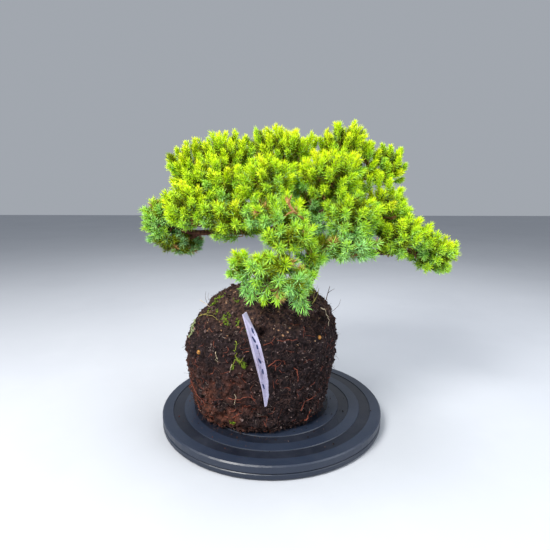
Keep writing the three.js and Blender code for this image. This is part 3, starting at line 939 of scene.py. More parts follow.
def needle_material():
    made, tree, shader = new_material("juniper_needles", 0.6, Specular_IOR_Level=0.14)
    across, up, _ = axes_of(tree, add(tree, "UVMap", uv_map="OFBake").outputs[0])
    upper = sums(tree, "GREATER_THAN", up, UPPER_HALF)
    along = product(tree, sums(tree, "SUBTRACT", up, product(tree, upper, UPPER_HALF)), 2.1)
    at_root = ramp_of(tree, across, [(place, root) for place, root, _ in TINTS])
    at_tip = ramp_of(tree, across, [(place, tip) for place, _, tip in TINTS])
    # The lighter tip is a painted highlight.
    green = blend_colours(tree, along, at_root, at_tip)
    # The darkest tints, the inner layer's painted shade, get no pale band.
    not_deep = stepped(tree, across, 0.04, 0.18)
    old = product(tree, stepped(tree, across, 0.70, 0.30, 0.10, 0.75), not_deep)
    near_root = stepped(tree, along, 0.0, 0.5, 1.0, 0.4)
    band = product(tree, product(tree, upper, old), near_root)
    wire(tree, blend_colours(tree, band, green, PALE_BAND), shader.inputs["Base Color"])
    return made


NEEDLES = needle_material()
STEM_TONES = ((0.110, 0.045, 0.018), (0.250, 0.120, 0.040), (0.420, 0.300, 0.080))
STEMS = mottled("green_stems", 0.7, 0.3, 180.0, STEM_TONES, (1200.0, 3.0, 0.3, 0.3 * MM))

# %% [markdown]
# ## Foliage: shoots
# A limb's foliage is many plumes. Each plume has a leading shoot and a few side shoots round it, and
# each shoot carries whorls of three needles, every whorl turned by 60 degrees from the last. Needles
# stand out wide on the old wood and close up at the growing tip. All shoots of a kind are worked out
# at once in arrays.

# %% Shoots
WHORL_GAP = 0.31  # share of a needle's length
WHORL = 3  # needles in a whorl
WHORL_TURN = math.pi / 3
SPIRAL_TURN = 2.4  # the angle from one side shoot to the next, in radians
STEM_SIDES = 3


def point_on(lines, s):
    """Points and headings on bent shoots. lines is (count, 3 control points, 3); s is (steps)."""
    a, b, c = (lines[:, None, k] for k in range(3))
    s = s[None, :, None]
    points = (1 - s) ** 2 * a + 2 * s * (1 - s) * b + s**2 * c
    return points, unit(2 * (1 - s) * (b - a) + 2 * s * (c - b))


def dress(lines, whorls, first, length, width, tint, rng, wide):
    """Needles in whorls along shoots, from the share first of their length to the tip.

    They stand out by the angle wide at the first whorl, and close up to 20 degrees at the tip.
    """
    s = np.linspace(first, 1.0, whorls)
    points, heading = point_on(lines, s)
    side_a, side_b = square_to(heading)
    each = (len(lines), whorls, WHORL)
    phase = rng.uniform(0, 2 * math.pi, (len(lines), 1)) + np.arange(whorls)[None] * WHORL_TURN
    phase = phase[..., None] + np.arange(WHORL)[None, None] * (2 * math.pi / WHORL)
    phase = phase + rng.normal(0, 0.22, each)
    out = side_a[:, :, None] * np.cos(phase)[..., None] + side_b[:, :, None] * np.sin(phase)[..., None]
    youth = ((s - first) / (1 - first))[None, :, None]
    open_angle = np.radians(mixed(wide, 20, youth**1.8) + rng.normal(0, 6, each))[..., None]
    along = heading[:, :, None]
    direction = along * np.cos(open_angle) + out * np.sin(open_angle)
    sizes = length * mixed(1.0, 0.72, youth**2) * rng.uniform(0.8, 1.15, each)
    broad = width * mixed(1.0, 0.8, youth**2) * rng.uniform(0.85, 1.1, each)
    # Lighter towards the shoot's tip: partly fresh growth, partly painted shade at its base.
    shade = tint[:, None, None] * mixed(0.86, 1.05, youth) + rng.normal(0, 0.035, each)
    tan = rng.uniform(0.935, 0.985, each)
    shade = np.where(tint[:, None, None] > TAN_STARTS, tan, shade.clip(0, LIGHTEST))
    roots = points[:, :, None] + out * 0.3 * MM
    ups = along * np.sin(open_angle) - out * np.cos(open_angle)
    flat = [v.reshape(-1, 3) for v in (roots, direction, ups)]
    return needles(*flat, sizes.ravel(), broad.ravel(), shade.ravel())


def side_shoots(leaders, count, reach, open_angle, rng, start=0.30, end=0.86):
    """Side shoots round leading shoots, spiralling up them and bending forwards."""
    s = np.linspace(start, end, count)
    points, heading = point_on(leaders, s)
    side_a, side_b = square_to(heading)
    phase = rng.uniform(0, 2 * math.pi, (len(leaders), 1)) + np.arange(count)[None] * SPIRAL_TURN
    out = side_a * np.cos(phase)[..., None] + side_b * np.sin(phase)[..., None]
    angle = np.radians(open_angle + rng.normal(0, 7, phase.shape))[..., None]
    leaning = heading * np.cos(angle) + out * np.sin(angle)
    length = reach * (1.0 - 0.45 * (s - start) / (end - start))[None] * rng.uniform(0.75, 1.2, phase.shape)
    middle = points + leaning * length[..., None] * 0.5
    tip = middle + unit(leaning + heading * 0.55) * length[..., None] * 0.5
    return np.stack([points, middle, tip], axis=2).reshape(-1, 3, 3)


def stems(lines, steps, thick, thin):
    """Tubes along shoots, tapered from thick to thin."""
    points, _ = point_on(lines, np.linspace(0, 1, steps))
    radii = np.repeat(np.linspace(thick, thin, steps)[None], len(lines), axis=0)
    return tubes(points, radii, STEM_SIDES)


def joined(*meshes):
    """Several (corners, triangles, ...) as one."""
    starts = np.cumsum([0] + [len(m[0]) for m in meshes[:-1]])
    return (
        np.concatenate([m[0] for m in meshes]),
        np.concatenate([m[1] + s for m, s in zip(meshes, starts)]),
        *(np.concatenate([m[k] for m in meshes]) for k in range(2, len(meshes[0]))),
    )


# %% [markdown]
# ## Foliage: pads
# Each solid pad says where one limb's foliage reaches. Plumes are spread over its outside, as far apart
# as real ones are, and not where two pads touch. They grow outwards and up to the light, and the front
# limb's hang forwards. A second layer, tinted dark as painted shade, fills each pad from inside, so
# that nothing shows through it. The shoots that stand out from the outline are placed one by one. A
# twig joins each plume to the nearest limb.

# %% Where plumes grow
Habit = namedtuple("Habit", "lift tint needle leader openness angle width spacing branches")
# What a pad's name starts with: lift towards the light, tint, needle length in mm, leading shoot's
# length in mm, angle of the side shoots, angle of the needles, needle width as a share of its length,
# distance between plumes in mm, and number of side shoots on each.
HABITS = {
    "foliage_crown": Habit(1.15, 0.77, 6.4, 26, 26, 50, 0.24, 11.8, 8),
    "foliage_heart": Habit(0.60, 0.46, 7.4, 24, 40, 60, 0.20, 12.5, 8),
    "foliage_left_shoulder": Habit(0.95, 0.74, 6.4, 26, 28, 52, 0.24, 11.8, 8),
    "foliage_right_shoulder": Habit(0.95, 0.75, 6.4, 26, 28, 52, 0.24, 11.8, 8),
    "foliage_front_left_high": Habit(0.90, 0.73, 6.6, 26, 30, 54, 0.23, 11.8, 8),
    "foliage_front_middle_high": Habit(0.95, 0.71, 6.6, 26, 30, 54, 0.22, 11.8, 8),
    "foliage_left_lobe": Habit(0.60, 0.47, 7.0, 24, 38, 60, 0.21, 12.5, 8),
    "foliage_left_drop": Habit(0.25, 0.22, 7.2, 24, 46, 64, 0.20, 12.5, 8),
    "foliage_front_left_mid": Habit(0.70, 0.67, 7.0, 24, 36, 58, 0.21, 12.5, 8),
    "foliage_front_middle": Habit(0.65, 0.57, 7.6, 25, 38, 60, 0.19, 12.5, 8),
    "foliage_right_high": Habit(0.90, 0.74, 6.4, 26, 30, 54, 0.24, 11.8, 8),
    "foliage_right_middle": Habit(0.80, 0.66, 7.2, 26, 34, 58, 0.21, 12.5, 8),
    "foliage_right_lobe": Habit(0.80, 0.66, 7.2, 25, 34, 58, 0.21, 12.5, 8),
    "foliage_right_tip": Habit(0.45, 0.65, 7.0, 24, 38, 56, 0.22, 12.0, 8),
    "foliage_right_low": Habit(0.25, 0.47, 8.4, 25, 42, 64, 0.17, 13.0, 7),
    "foliage_cascade": Habit(0.15, 0.60, 9.2, 27, 42, 66, 0.165, 13.0, 6),
    "foliage_cascade_top": Habit(0.25, 0.59, 8.8, 28, 40, 64, 0.165, 13.0, 6),
    "foliage_cascade_middle": Habit(0.05, 0.56, 9.2, 27, 42, 66, 0.165, 13.0, 6),
    "foliage_cascade_low": Habit(0.05, 0.50, 9.2, 24, 42, 66, 0.165, 13.0, 6),
    "foliage_cascade_left_sprig": Habit(0.50, 0.68, 7.4, 18, 38, 60, 0.20, 12.0, 6),
    "foliage_back": Habit(0.85, 0.66, 6.8, 26, 34, 56, 0.22, 11.8, 8),
}
SEAM = 1.0 * MM  # nearer than this to the next pad, nothing grows
CREVICE = 11.0 * MM  # within this of the next pad, plumes turn away from it
TRUNK_FOOT = np.array([36.0, 2.0, 0.0]) * MM
SURFACE_TRIES = 1100  # points tried on each pad

pads = [n for n in NODES if n.startswith("foliage_")]
pad_shapes = {n: (corners_of(NODES[n]), triangles_of(NODES[n])) for n in pads}
pad_trees = {n: BVHTree.FromPolygons(c.tolist(), t.tolist()) for n, (c, t) in pad_shapes.items()}
pad_middles = {n: c.mean(axis=0) for n, (c, _) in pad_shapes.items()}


def habit_of(pad):
    return HABITS[max((k for k in HABITS if pad.startswith(k)), key=len)]


def spread_out(points, spacing):
    """Which points to keep, so that they are at least spacing apart."""
    kept = []
    for i, point in enumerate(points):
        if not kept or np.min(np.sum((points[kept] - point) ** 2, axis=1)) > spacing**2:
            kept.append(i)
    return kept


def plume_tips(pad, rng):
    """Places, headings and depth in a crevice (0 to 1) for plumes on a pad's uncovered surface."""
    points, normals = scatter(*pad_shapes[pad], SURFACE_TRIES, rng)
    # depth is -1 at a seam, 0 in the open, and nears 1 in the crevice between two pads
    others = [t for n, t in pad_trees.items() if n != pad]
    depth = np.zeros(len(points))
    leaning = normals.copy()
    for i, point in enumerate(points):
        touched = [found for t in others if (found := t.find_nearest(Vector(point), CREVICE))[0]]
        if touched:
            _, normal, _, distance = min(touched, key=lambda found: found[3])
            depth[i] = -1 if distance < SEAM else 1 - distance / CREVICE
            leaning[i] = unit(normals[i] + np.array(normal) * depth[i])
    # fewer plumes grow on the underside
    open_ones = (depth >= 0) & (rng.random(len(points)) < 0.8 + normals[:, 2])
    kept = spread_out(points[open_ones], habit_of(pad).spacing * MM)
    return points[open_ones][kept], leaning[open_ones][kept], depth[open_ones][kept]


# %% Shoots placed one by one
BRANCH_SHARE = 0.45  # a side shoot's length as a share of its leader's
TALL_SHARE = 0.22  # plumes that stand out from the others
INNER_SHARE = 0.8  # plumes with another one under them
# The inner layer's tint is a small share of its plume's: painted shade.
INNER_LIGHT = 0.03  # how much of a plume's tint the one under it has
BRIGHTEST = 0.88
WITHERED = 0.03  # side shoots that have dried up, on the shaded pads
DEAD = 0.96  # place of the dead tan across the map
# Shoots that stand out or close a gap. pad: (root, tip, how light), the places in mm.
LONE_SHOOTS = {
    "foliage_cascade_middle": [
        ((-9, -86, 182), (-20, -92, 161), 0.36),
        ((-2, -88, 182), (-8, -93, 160), 0.54),
        ((-14, -86, 185), (-30, -90, 181), 0.38),
        ((-13, -86, 183), (-26, -91, 168), 0.32),
    ],
    "foliage_cascade_low": [
        ((15, -90, 178), (23, -95, 154), 0.34),
        ((20, -90, 177), (30, -95, 152), 0.34),
        ((6, -90, 178), (5, -95, 160), 0.50),
        ((4, -88, 173), (7, -92, 163), DEAD),
    ],
    "foliage_cascade_right": [
        ((27, -70, 180), (46, -70, 192), 0.44),
        ((24, -70, 184), (41, -70, 201), 0.50),
        ((26, -72, 177), (39, -74, 180), 0.54),
    ],
    "foliage_cascade_left_sprig": [
        ((-20, -81, 184), (-38, -82, 196), 0.70),
        ((-23, -81, 188), (-34, -81, 202), 0.74),
        ((-22, -81, 190), (-26, -81, 202), 0.74),
    ],
    "foliage_heart": [
        ((36, -24, 210), (45, -46, 222), 0.34),
        ((40, -22, 206), (50, -40, 213), 0.28),
        ((38, -22, 218), (50, -38, 232), 0.40),
        ((40, -18, 214), (53, -30, 221), 0.30),
    ],
    "foliage_right_high": [
        ((104, -2, 250), (103, -4, 271), 0.72),
        ((113, 0, 250), (116, 0, 275), 0.74),
        ((121, 2, 248), (127, 2, 268), 0.76),
        ((130, 0, 243), (138, 0, 259), 0.76),
    ],
}


def lone_shoots(pad):
    """Leading shoots placed one by one on a pad, bent towards the light."""
    rows = LONE_SHOOTS.get(pad, [])
    roots, ends = (np.array([row[k] for row in rows], float).reshape(-1, 3) * MM for k in (0, 1))
    bend = mixed(roots, ends, 0.55) + [0, 0, 1.5 * MM]
    return np.stack([roots, bend, ends], axis=1), [row[2] for row in rows]


def inside_pad(pad, places, depth):
    """The places, moved to at least depth below the pad's surface."""
    near, normal = nearest_on(pad_trees[pad], places)
    height = np.sum((places - near) * normal, axis=1, keepdims=True)
    return np.where(height > -depth, near - normal * depth, places)


def grow_plumes(pad, rng):
    """Leading shoots of a pad's plumes and how light each plume is: an outer layer and an inner one."""
    habit = habit_of(pad)
    tips, leaning, depth = plume_tips(pad, rng)
    count = len(tips)
    middle = pad_middles[pad]
    # the headings: out of the pad, up to the light and away from the trunk, and none into the pad
    away = unit((middle - TRUNK_FOOT) * [1, 1, 0])
    level = leaning * np.where(leaning[:, 2:] < 0, [[1, 1, 0.45]], 1)
    heading = unit(level + [0, 0, habit.lift] + away * 0.25 + rng.normal(0, 0.15, (count, 3)))
    inwards = (0.35 - np.sum(heading * leaning, axis=1, keepdims=True)).clip(0, 1)
    heading = unit(heading + 1.3 * inwards * leaning)
    # the lengths: a small pad gets short plumes, and a few plumes stand out from the others
    pad_radius = np.linalg.norm(pad_shapes[pad][0] - middle, axis=1).mean()
    reach = min(habit.leader * MM, 0.95 * pad_radius) * rng.uniform(0.85, 1.15, (count, 1))
    tall = (rng.random(count) < TALL_SHARE) * rng.uniform(2.0, 5.5, count)
    outward = -3.5 + 6.0 * depth + tall * (habit.lift > 0.3) + rng.uniform(-2.5, 1.0, count)
    tips = tips + heading * (outward - 1.5 * (pad_radius < 17 * MM))[:, None] * MM
    # the inner ends are drawn to the pad's middle, and each shoot sags a little on its way out
    inner = mixed(tips - heading * reach, middle, mixed(0.12, 0.4, inwards))
    inner = inside_pad(pad, inner, 4 * MM)
    bend = mixed(inner, tips, 0.5) + [0, 0, -1.5 * MM] + heading * 1.0 * MM
    leaders = np.stack([inner, bend, tips], axis=1)
    # Plumes that face up are painted lighter and those deep in a crevice darker: painted light and painted
    # shade.
    light = habit.tint + 0.10 * (leaning[:, 2] - 0.2) - 0.10 * depth + rng.normal(0, 0.07, count)
    # the inner layer, tinted dark as painted shade, repeats most of the plumes nearer the middle
    light = light.clip(0.0, BRIGHTEST)
    chosen = rng.random(count) < INNER_SHARE
    deeper = mixed(middle, leaders[chosen], 0.70) + rng.normal(0, 2.5, (chosen.sum(), 1, 3)) * MM
    alone, alone_light = lone_shoots(pad)
    leaders = np.concatenate([leaders, alone, deeper])
    return leaders, np.concatenate([light, alone_light, light[chosen] * INNER_LIGHT])


# %% Twigs that carry the plumes
def twigs_to(inner):
    """Twigs that sag from the nearest wood to the inner ends of the plumes."""
    nearest = [wood_tree.find_nearest(Vector(p)) for p in inner]
    foot = np.array([tuple(n[0] - n[1] * 0.8 * MM) for n in nearest])
    sag = np.linalg.norm(inner - foot, axis=1, keepdims=True) * [[0, 0, -0.12]]
    return np.stack([foot, mixed(foot, inner, 0.5) + sag, inner], axis=1)


def whorls_on(length, share, habit):
    """How many whorls fit on a share of a shoot's length."""
    return int(length * share / (WHORL_GAP * habit.needle * MM))


def branch_tints(light, habit, rng):
    """How light each side shoot is: lighter towards the tip, for fresh growth and as painted shade lower on
    the plume, and a few of them dead.
    """
    each = np.repeat(light, habit.branches)
    nearer_tip = np.tile(np.linspace(0.86, 1.03, habit.branches), len(light))
    shaded = each * nearer_tip
    shaded = shaded + rng.normal(0, 0.03, len(shaded))
    withered = WITHERED if habit.tint < 0.62 else 0.0
    dead = (rng.random(len(shaded)) < withered) | (each > TAN_STARTS)
    return np.where(dead, DEAD, shaded.clip(0, LIGHTEST))


# %% Grow the foliage, one pad at a time
FIRST_SEED = 100
LEADER_BARE, BRANCH_BARE = 0.25, 0.12  # the share of a shoot below its first whorl
total_needles = 0
for number, pad in enumerate(sorted(pads)):
    rng = np.random.default_rng(FIRST_SEED + number)
    habit = habit_of(pad)
    leaders, light = grow_plumes(pad, rng)
    reach = np.linalg.norm(leaders[:, 2] - leaders[:, 0], axis=1).mean()
    branches = side_shoots(leaders, habit.branches, BRANCH_SHARE * reach, habit.openness, rng)
    branch_light = branch_tints(light, habit, rng)
    whorls = whorls_on(reach, 0.75, habit)
    branch_whorls = max(4, whorls_on(reach, BRANCH_SHARE * 0.9, habit))
    size = habit.needle * MM
    broad = habit.width * size
    leaves = joined(
        dress(leaders, whorls, LEADER_BARE, size, broad, light, rng, habit.angle),
        dress(branches, branch_whorls, BRANCH_BARE, size * 0.9, broad, branch_light, rng, habit.angle - 4),
    )
    total_needles += len(leaves[1]) // 4
    grown = piece(pad.replace("foliage_", "needles_"), *leaves[:2], NEEDLES, "juniper_needles", uv=leaves[2])
    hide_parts(pad)
    wood_bits = joined(
        stems(twigs_to(leaders[:, 0]), 4, 0.95 * MM, 0.62 * MM),
        stems(leaders, 5, 0.62 * MM, 0.3 * MM),
        stems(branches, 3, 0.42 * MM, 0.22 * MM),
    )
    piece(pad.replace("foliage_", "stems_"), *wood_bits, STEMS, "bark")
print("needles:", total_needles)

# %% [markdown]
# ## Label
# The label is a thin strip of plastic. Its solid has the true shape, so it stays and gets a finish:
# pale lilac, stained, with specks of soil. The ink on it is a piece of its own: a few slanted dashes,
# each a thin tube that is laid on the label's face and pressed flat against it.

# %% Label finish
def label_material():
    made, tree, shader = new_material("label_plastic", 0.42, Specular_IOR_Level=0.45)
    stains = mottle(tree, 85.0, (0.34, 0.29, 0.40), (0.45, 0.42, 0.57), (0.53, 0.51, 0.66))
    under, dirt = stains.outputs[0], (0.13, 0.08, 0.07, 1)
    soiled = use_group(tree, SPECKS, Under=under, Speck=dirt, Scale=520.0, Size=0.2, Share=0.10)
    wire(tree, soiled.outputs[0], shader.inputs["Base Color"])
    bump(tree, shader, noise(tree, 500.0, detail=3.0), 0.15, 0.2 * MM)
    return made


INK_TONES = ((0.010, 0.016, 0.060), (0.018, 0.032, 0.110), (0.060, 0.090, 0.240))
INK = mottled("blue_ink", 0.55, 0.3, 700.0, INK_TONES)
put_on(NODES["plant_label"], label_material(), smooth=False)

# %% Ink dashes
TABLE_TOP = 15.4 * MM
# (start, end, half width): places in mm, measured from the turntable's middle and top
DASHES = [
    ((-18.7, -91.1, 118.9), (-16.9, -90.7, 113.2), 1.00),
    ((-18.3, -90.9, 110.2), (-15.2, -89.8, 104.0), 1.00),
    ((-14.1, -89.3, 102.0), (-13.1, -88.9, 97.0), 0.90),
    ((-12.7, -87.8, 87.6), (-10.2, -87.1, 82.2), 1.00),
    ((-9.0, -86.2, 76.2), (-8.2, -85.7, 70.6), 0.80),
    ((-8.8, -84.8, 60.6), (-7.2, -84.2, 54.6), 0.80),
    ((-16.9, -90.7, 113.7), (-15.7, -90.2, 110.6), 0.24),
    ((-13.1, -88.8, 97.3), (-10.9, -87.6, 88.4), 0.20),
    ((-10.8, -86.9, 80.1), (-9.0, -85.3, 65.2), 0.20),
]
DASH_STEPS = 9
PRESSED = 0.12  # what is left of the ink's thickness


def from_table(places):
    """Places in mm from the turntable's top, as metres in the frame."""
    return np.asarray(places, float) * MM + [0, 0, TABLE_TOP]


label_tree = tree_of(NODES["plant_label"])
share = np.linspace(0, 1, DASH_STEPS)
strokes = np.stack([mixed(from_table(a), from_table(b), share[:, None]) for a, b, _ in DASHES])
swell = 0.35 + 0.65 * np.sin(math.pi * np.linspace(0.12, 0.88, DASH_STEPS))
widths = np.array([d[2] for d in DASHES])[:, None] * swell[None] * MM
ink_corners, ink_triangles = tubes(strokes, widths, 6)
for i, corner in enumerate(ink_corners):
    face, normal, _, _ = label_tree.find_nearest(Vector(corner))
    height = (Vector(corner) - face).dot(normal)
    ink_corners[i] = face + normal * (height * PRESSED + 0.05 * MM)
piece("label_ink", ink_corners, ink_triangles, INK, "label_plastic")

# %% [markdown]
# ## Fertiliser pellets
# Two amber pellets of slow-release fertiliser sit in the wall. A copy of each solid is subdivided until
# it is round.

# %% Pellets
PELLET_TONES = ((0.120, 0.045, 0.010), (0.360, 0.150, 0.020), (0.560, 0.320, 0.060))
PELLET = mottled("amber_pellet", 0.4, 0.45, 420.0, PELLET_TONES, (700.0, 3.0, 0.3, 0.3 * MM))
for node in PELLETS:
    pellet = copy_of_solid(node, node + "_round")
    rounding = pellet.modifiers.new("rounding", "SUBSURF")
    rounding.levels = 2
    apply_all(pellet)
    put_on(pellet, PELLET)
    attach(pellet, "top")
    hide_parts(node)

# %% [markdown]
# ## Moss
# The moss is a carpet of tiny stars. Each star is a few short leaves that open from one point. The
# needle's shape serves for the leaf, wider and shorter. The stars gather round the middle of each
# cushion and thin out beyond it. On the rim of the root ball the moss is old and bleached.

# %% Materials of moss, weeds, grass and straw
SOFT_COLOURS = {
    "green_moss": ((0.045, 0.075, 0.008), (0.150, 0.240, 0.012), (0.380, 0.520, 0.030)),
    "pale_moss": ((0.180, 0.230, 0.060), (0.420, 0.480, 0.260), (0.660, 0.700, 0.520)),
    "weed_stems": ((0.080, 0.090, 0.010), (0.200, 0.240, 0.018), (0.380, 0.430, 0.050)),
    "olive_grass": ((0.110, 0.085, 0.020), (0.260, 0.220, 0.050), (0.420, 0.380, 0.110)),
    "straw": ((0.300, 0.230, 0.150), (0.520, 0.430, 0.300), (0.700, 0.620, 0.460)),
}
SOFT_GRAIN = (1100.0, 2.0, 0.2, 0.2 * MM)
GREEN_MOSS, PALE_MOSS, WEED_STEMS, OLIVE, STRAW = (
    mottled(name, 0.65, 0.3, 240.0, tones, SOFT_GRAIN) for name, tones in SOFT_COLOURS.items()
)

# %% Stars of leaves
LEAF_WIDTH = 0.42  # a share of the leaf's length


def stars(middles, spread, count, leaf_length, rng, leaves=9):
    """Little stars of leaves on the soil round some middles: corners and triangles."""
    chosen = middles[rng.integers(0, len(middles), count)] + rng.normal(0, 1, (count, 3)) * spread
    roots, normals = nearest_on(soil_tree, chosen)
    normals = unit(normals + [0, 0, 0.4])
    side_a, side_b = square_to(normals)
    turn = rng.uniform(0, 2 * math.pi, (count, leaves))[..., None]
    out = side_a[:, None] * np.cos(turn) + side_b[:, None] * np.sin(turn)
    open_angle = np.radians(rng.uniform(8, 72, (count, leaves)))[..., None]
    heading = normals[:, None] * np.cos(open_angle) + out * np.sin(open_angle)
    ups = normals[:, None] * np.sin(open_angle) - out * np.cos(open_angle)
    length = leaf_length * rng.uniform(0.6, 1.3, (count, leaves))
    start = roots[:, None] + heading * 0.1 * MM
    flat = [v.reshape(-1, 3) for v in (start, heading, ups)]
    return needles(*flat, length.ravel(), length.ravel() * LEAF_WIDTH, np.zeros(count * leaves))[:2]


# %% Moss cushions
# Middles of the thick parts, in mm. Each green cushion has its first one twice, so it is thickest there.
MOUND = [(-62.4, -28.4, 125.6), (-62.4, -28.4, 125.6), (-60, -24, 127), (-55, -22, 130), (-66, -34, 120)]
FRONT = [
    (-45.7, -67.5, 116.9),
    (-45.7, -67.5, 116.9),
    (-43.1, -63.5, 121.8),
    (-48.3, -60.9, 121),
    (-35, -72.5, 118),
]
RIM = [(-90, -27, 104), (-91, -26, 98), (-92, -27, 92), (-89, -31, 100)]
STRAY = [
    (-23.6, -80.7, 112.2),
    (-35.1, -48, 134.7),
    (-54.7, -20.4, 131.3),
    (-57, -50, 122),
    (-40.2, -73.3, 11.7),
]
# node: (seed, material, middles, spread in mm, number of stars, leaf length in mm)
MOSSES = {
    "moss_on_mound": (40, GREEN_MOSS, MOUND, 1.6, 75, 1.7),
    "moss_at_front": (41, GREEN_MOSS, FRONT, 1.4, 75, 1.6),
    "moss_on_rim": (42, PALE_MOSS, RIM, 2.0, 170, 1.9),
}
for node, (seed, material, middles, spread, count, leaf) in MOSSES.items():
    cushion = stars(from_table(middles), spread * MM, count, leaf * MM, np.random.default_rng(seed))
    grown = piece(node + "_tufts", *cushion, material, "moss")
    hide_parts(node)
stray = stars(from_table(STRAY), 1.0 * MM, 80, 1.5 * MM, np.random.default_rng(44))
piece("stray_moss", *stray, GREEN_MOSS, "moss")

# %% [markdown]
# ## Weeds, straw and single roots
# Some growth is too particular to be scattered: a weed that creeps down the front, blades of grass,
# bleached straws, dry twigs, a few strong roots, and a bare twig that shows between the limbs. Each is
# a line through a few chosen places. The line is made smooth, laid on the soil and lifted off it a
# little, and then it gets its thickness.


# %% Lines through chosen places
def laid(places, lift, steps=12):
    """A smooth line through places in mm. It keeps to the soil, lift mm above it, unless lift is 0."""
    places = from_table(places)
    at = np.linspace(0, len(places) - 1, steps)
    line = np.stack([np.interp(at, np.arange(len(places)), places[:, k]) for k in range(3)], axis=1)
    for _ in range(3):
        line[1:-1] = (line[:-2] + 2 * line[1:-1] + line[2:]) / 4
    if lift > 0:
        for i, point in enumerate(line):
            near, normal, _, _ = soil_tree.find_nearest(Vector(point))
            line[i] = near + normal * lift * MM
    return line


def strands(name, rows, material, slot):
    """One piece of tapered tubes. rows: (places, lift, half width at the start), all in mm."""
    lines = np.stack([laid(places, lift) for places, lift, _ in rows])
    taper = np.linspace(1.0, 0.45, lines.shape[1])
    radii = np.array([r[2] for r in rows])[:, None] * taper[None] * MM
    return piece(name, *tubes(lines, radii, 5), material, slot)


# %% Weeds and grass
WEEDS = [
    ([(-34.1, -81.5, 103.5), (-33, -84, 98.5), (-34.9, -84.5, 92.7), (-34, -85.1, 84.9)], 1.0, 0.42),
    ([(-34, -85.1, 84.9), (-31, -86.5, 83.5), (-25.6, -85.8, 77.2)], 1.3, 0.45),
    ([(-34, -85.1, 84.9), (-38.1, -83.6, 80.2), (-37.2, -83.1, 75)], 1.0, 0.36),
    ([(-29.2, -86.5, 83.5), (-27.3, -86.7, 88.6)], 1.2, 0.32),
]
strands("weed_stalks", WEEDS, WEED_STEMS, "moss")
LEAF_SPOTS = [
    (-33, -84, 98.5),
    (-35.5, -84.5, 95),
    (-33, -85.4, 84),
    (-28, -86.2, 80.5),
    (-26, -86.2, 78),
    (-37.6, -83.4, 76),
]
rng = np.random.default_rng(45)
leaves = stars(from_table(LEAF_SPOTS), 1.0 * MM, 34, 2.6 * MM, rng, leaves=4)
piece("weed_leaves", *leaves, GREEN_MOSS, "moss")

LONG_BLADE = [
    (-79.4, -24.9, 108),
    (-72.8, -31.9, 114.5),
    (-64.3, -46.2, 117.7),
    (-56.9, -55.9, 118.4),
    (-52.1, -62.4, 117.3),
]
GRASS = [
    (LONG_BLADE, 1.2, 0.40),
    ([(-75.2, -30.6, 111.9), (-66.2, -40.2, 119.1), (-58.7, -49.2, 121.7)], 1.5, 0.36),
    ([(40.9, -44.6, 128.9), (46.5, -35, 134), (49.3, -30, 142)], 0, 0.55),
    ([(43.5, -40, 130.5), (43, -36, 136), (45.5, -32, 141)], 0, 0.42),
]
strands("grass_blades", GRASS, OLIVE, "moss")

# %% Straws, strong roots and twigs
STRAWS = [
    ([(49.6, -40.3, 124.5), (55.3, -38.5, 121.3), (58.5, -41.7, 115.2), (58.5, -48.3, 106.3)], 2.6, 0.62),
    ([(-77.5, -20, 126.7), (-72.2, -23, 124.3), (-65.2, -32, 122.2)], 0, 0.42),
    ([(-55, -76, 89.4), (-53.6, -76.4, 84), (-54.2, -76.6, 79.4)], 0.9, 0.34),
    ([(-39.1, -83.1, 79), (-40.3, -81.8, 71.4)], 0.9, 0.34),
    ([(-36, -80, 45.5), (-36, -79, 40), (-37.3, -78.3, 35.1)], 0.8, 0.32),
]
strands("straws", STRAWS, STRAW, "peat_and_roots")

STRONG_ROOTS = [
    ([(-3.7, -85.4, 79), (1, -85.1, 81.9), (7.7, -83.7, 82.3), (14.5, -81.5, 78.3)], 0.9, 0.42),
    ([(2.9, -84.2, 104.5), (10.4, -82.7, 103), (24.9, -77.8, 102.2)], 0.8, 0.36),
    ([(23.4, -77, 71.2), (25.6, -74.6, 62.9), (26.8, -73, 55.8)], 0.8, 0.44),
    ([(-43.2, -77.8, 42.3), (-35.2, -79.4, 39.9), (-25.2, -81.9, 46.5), (-16.5, -81.9, 42.2)], 1.0, 0.40),
    ([(34.5, -60, 7), (37.8, -57, 12.3), (42.1, -54.1, 17.5)], 1.6, 0.85),
    ([(30, -70, 24), (38, -64, 28), (46, -57, 36)], 1.0, 0.42),
    ([(-90.6, -24.4, 38.8), (-82.6, -40.6, 30.7), (-69.4, -57.8, 24.8)], 1.0, 0.42),
]
strands("strong_roots", STRONG_ROOTS, ROOT_MATERIALS["rust"], "peat_and_roots")

TWIGS = [
    ([(58.7, -12, 122.5), (60.2, -18, 133.6), (62.1, -20, 142.2)], 0, 0.55),
    ([(60.2, -18, 133.6), (63, -20, 137), (67, -21, 139.5)], 0, 0.32),
    ([(-70, -20, 123.5), (-72, -20, 130), (-70.8, -20, 136.5)], 0, 0.22),
    ([(-66, -22, 124.5), (-69, -21, 130), (-68, -20, 134.5)], 0, 0.20),
    ([(63, -34, 118), (70, -34, 124), (72, -33, 131)], 0, 0.26),
]
strands("dry_twigs", TWIGS, BARK, "peat_and_roots")

BARE_TWIGS = [
    ([(13.1, -62, 237.4), (14.4, -80, 231.3), (18.8, -82, 224.2), (33.6, -64, 213.1)], 0, 1.9),
    ([(14.4, -80, 231.3), (16.0, -83, 235.5), (17.5, -81, 239.0)], 0, 1.1),
    ([(18.8, -82, 224.2), (14.0, -84, 222.5), (10.5, -80, 219.0)], 0, 1.0),
]
strands("bare_twigs", BARE_TWIGS, STEMS, "bark")

# %% [markdown]
# ## Hairs, fringe and litter
# What makes the root ball look soft is what stands off it: hair roots that curl out of the wall and
# the mound, and a fringe of broken roots that spreads over the plate at its foot. Flakes of bark lie on
# the mound, and crumbs have fallen on the plate.

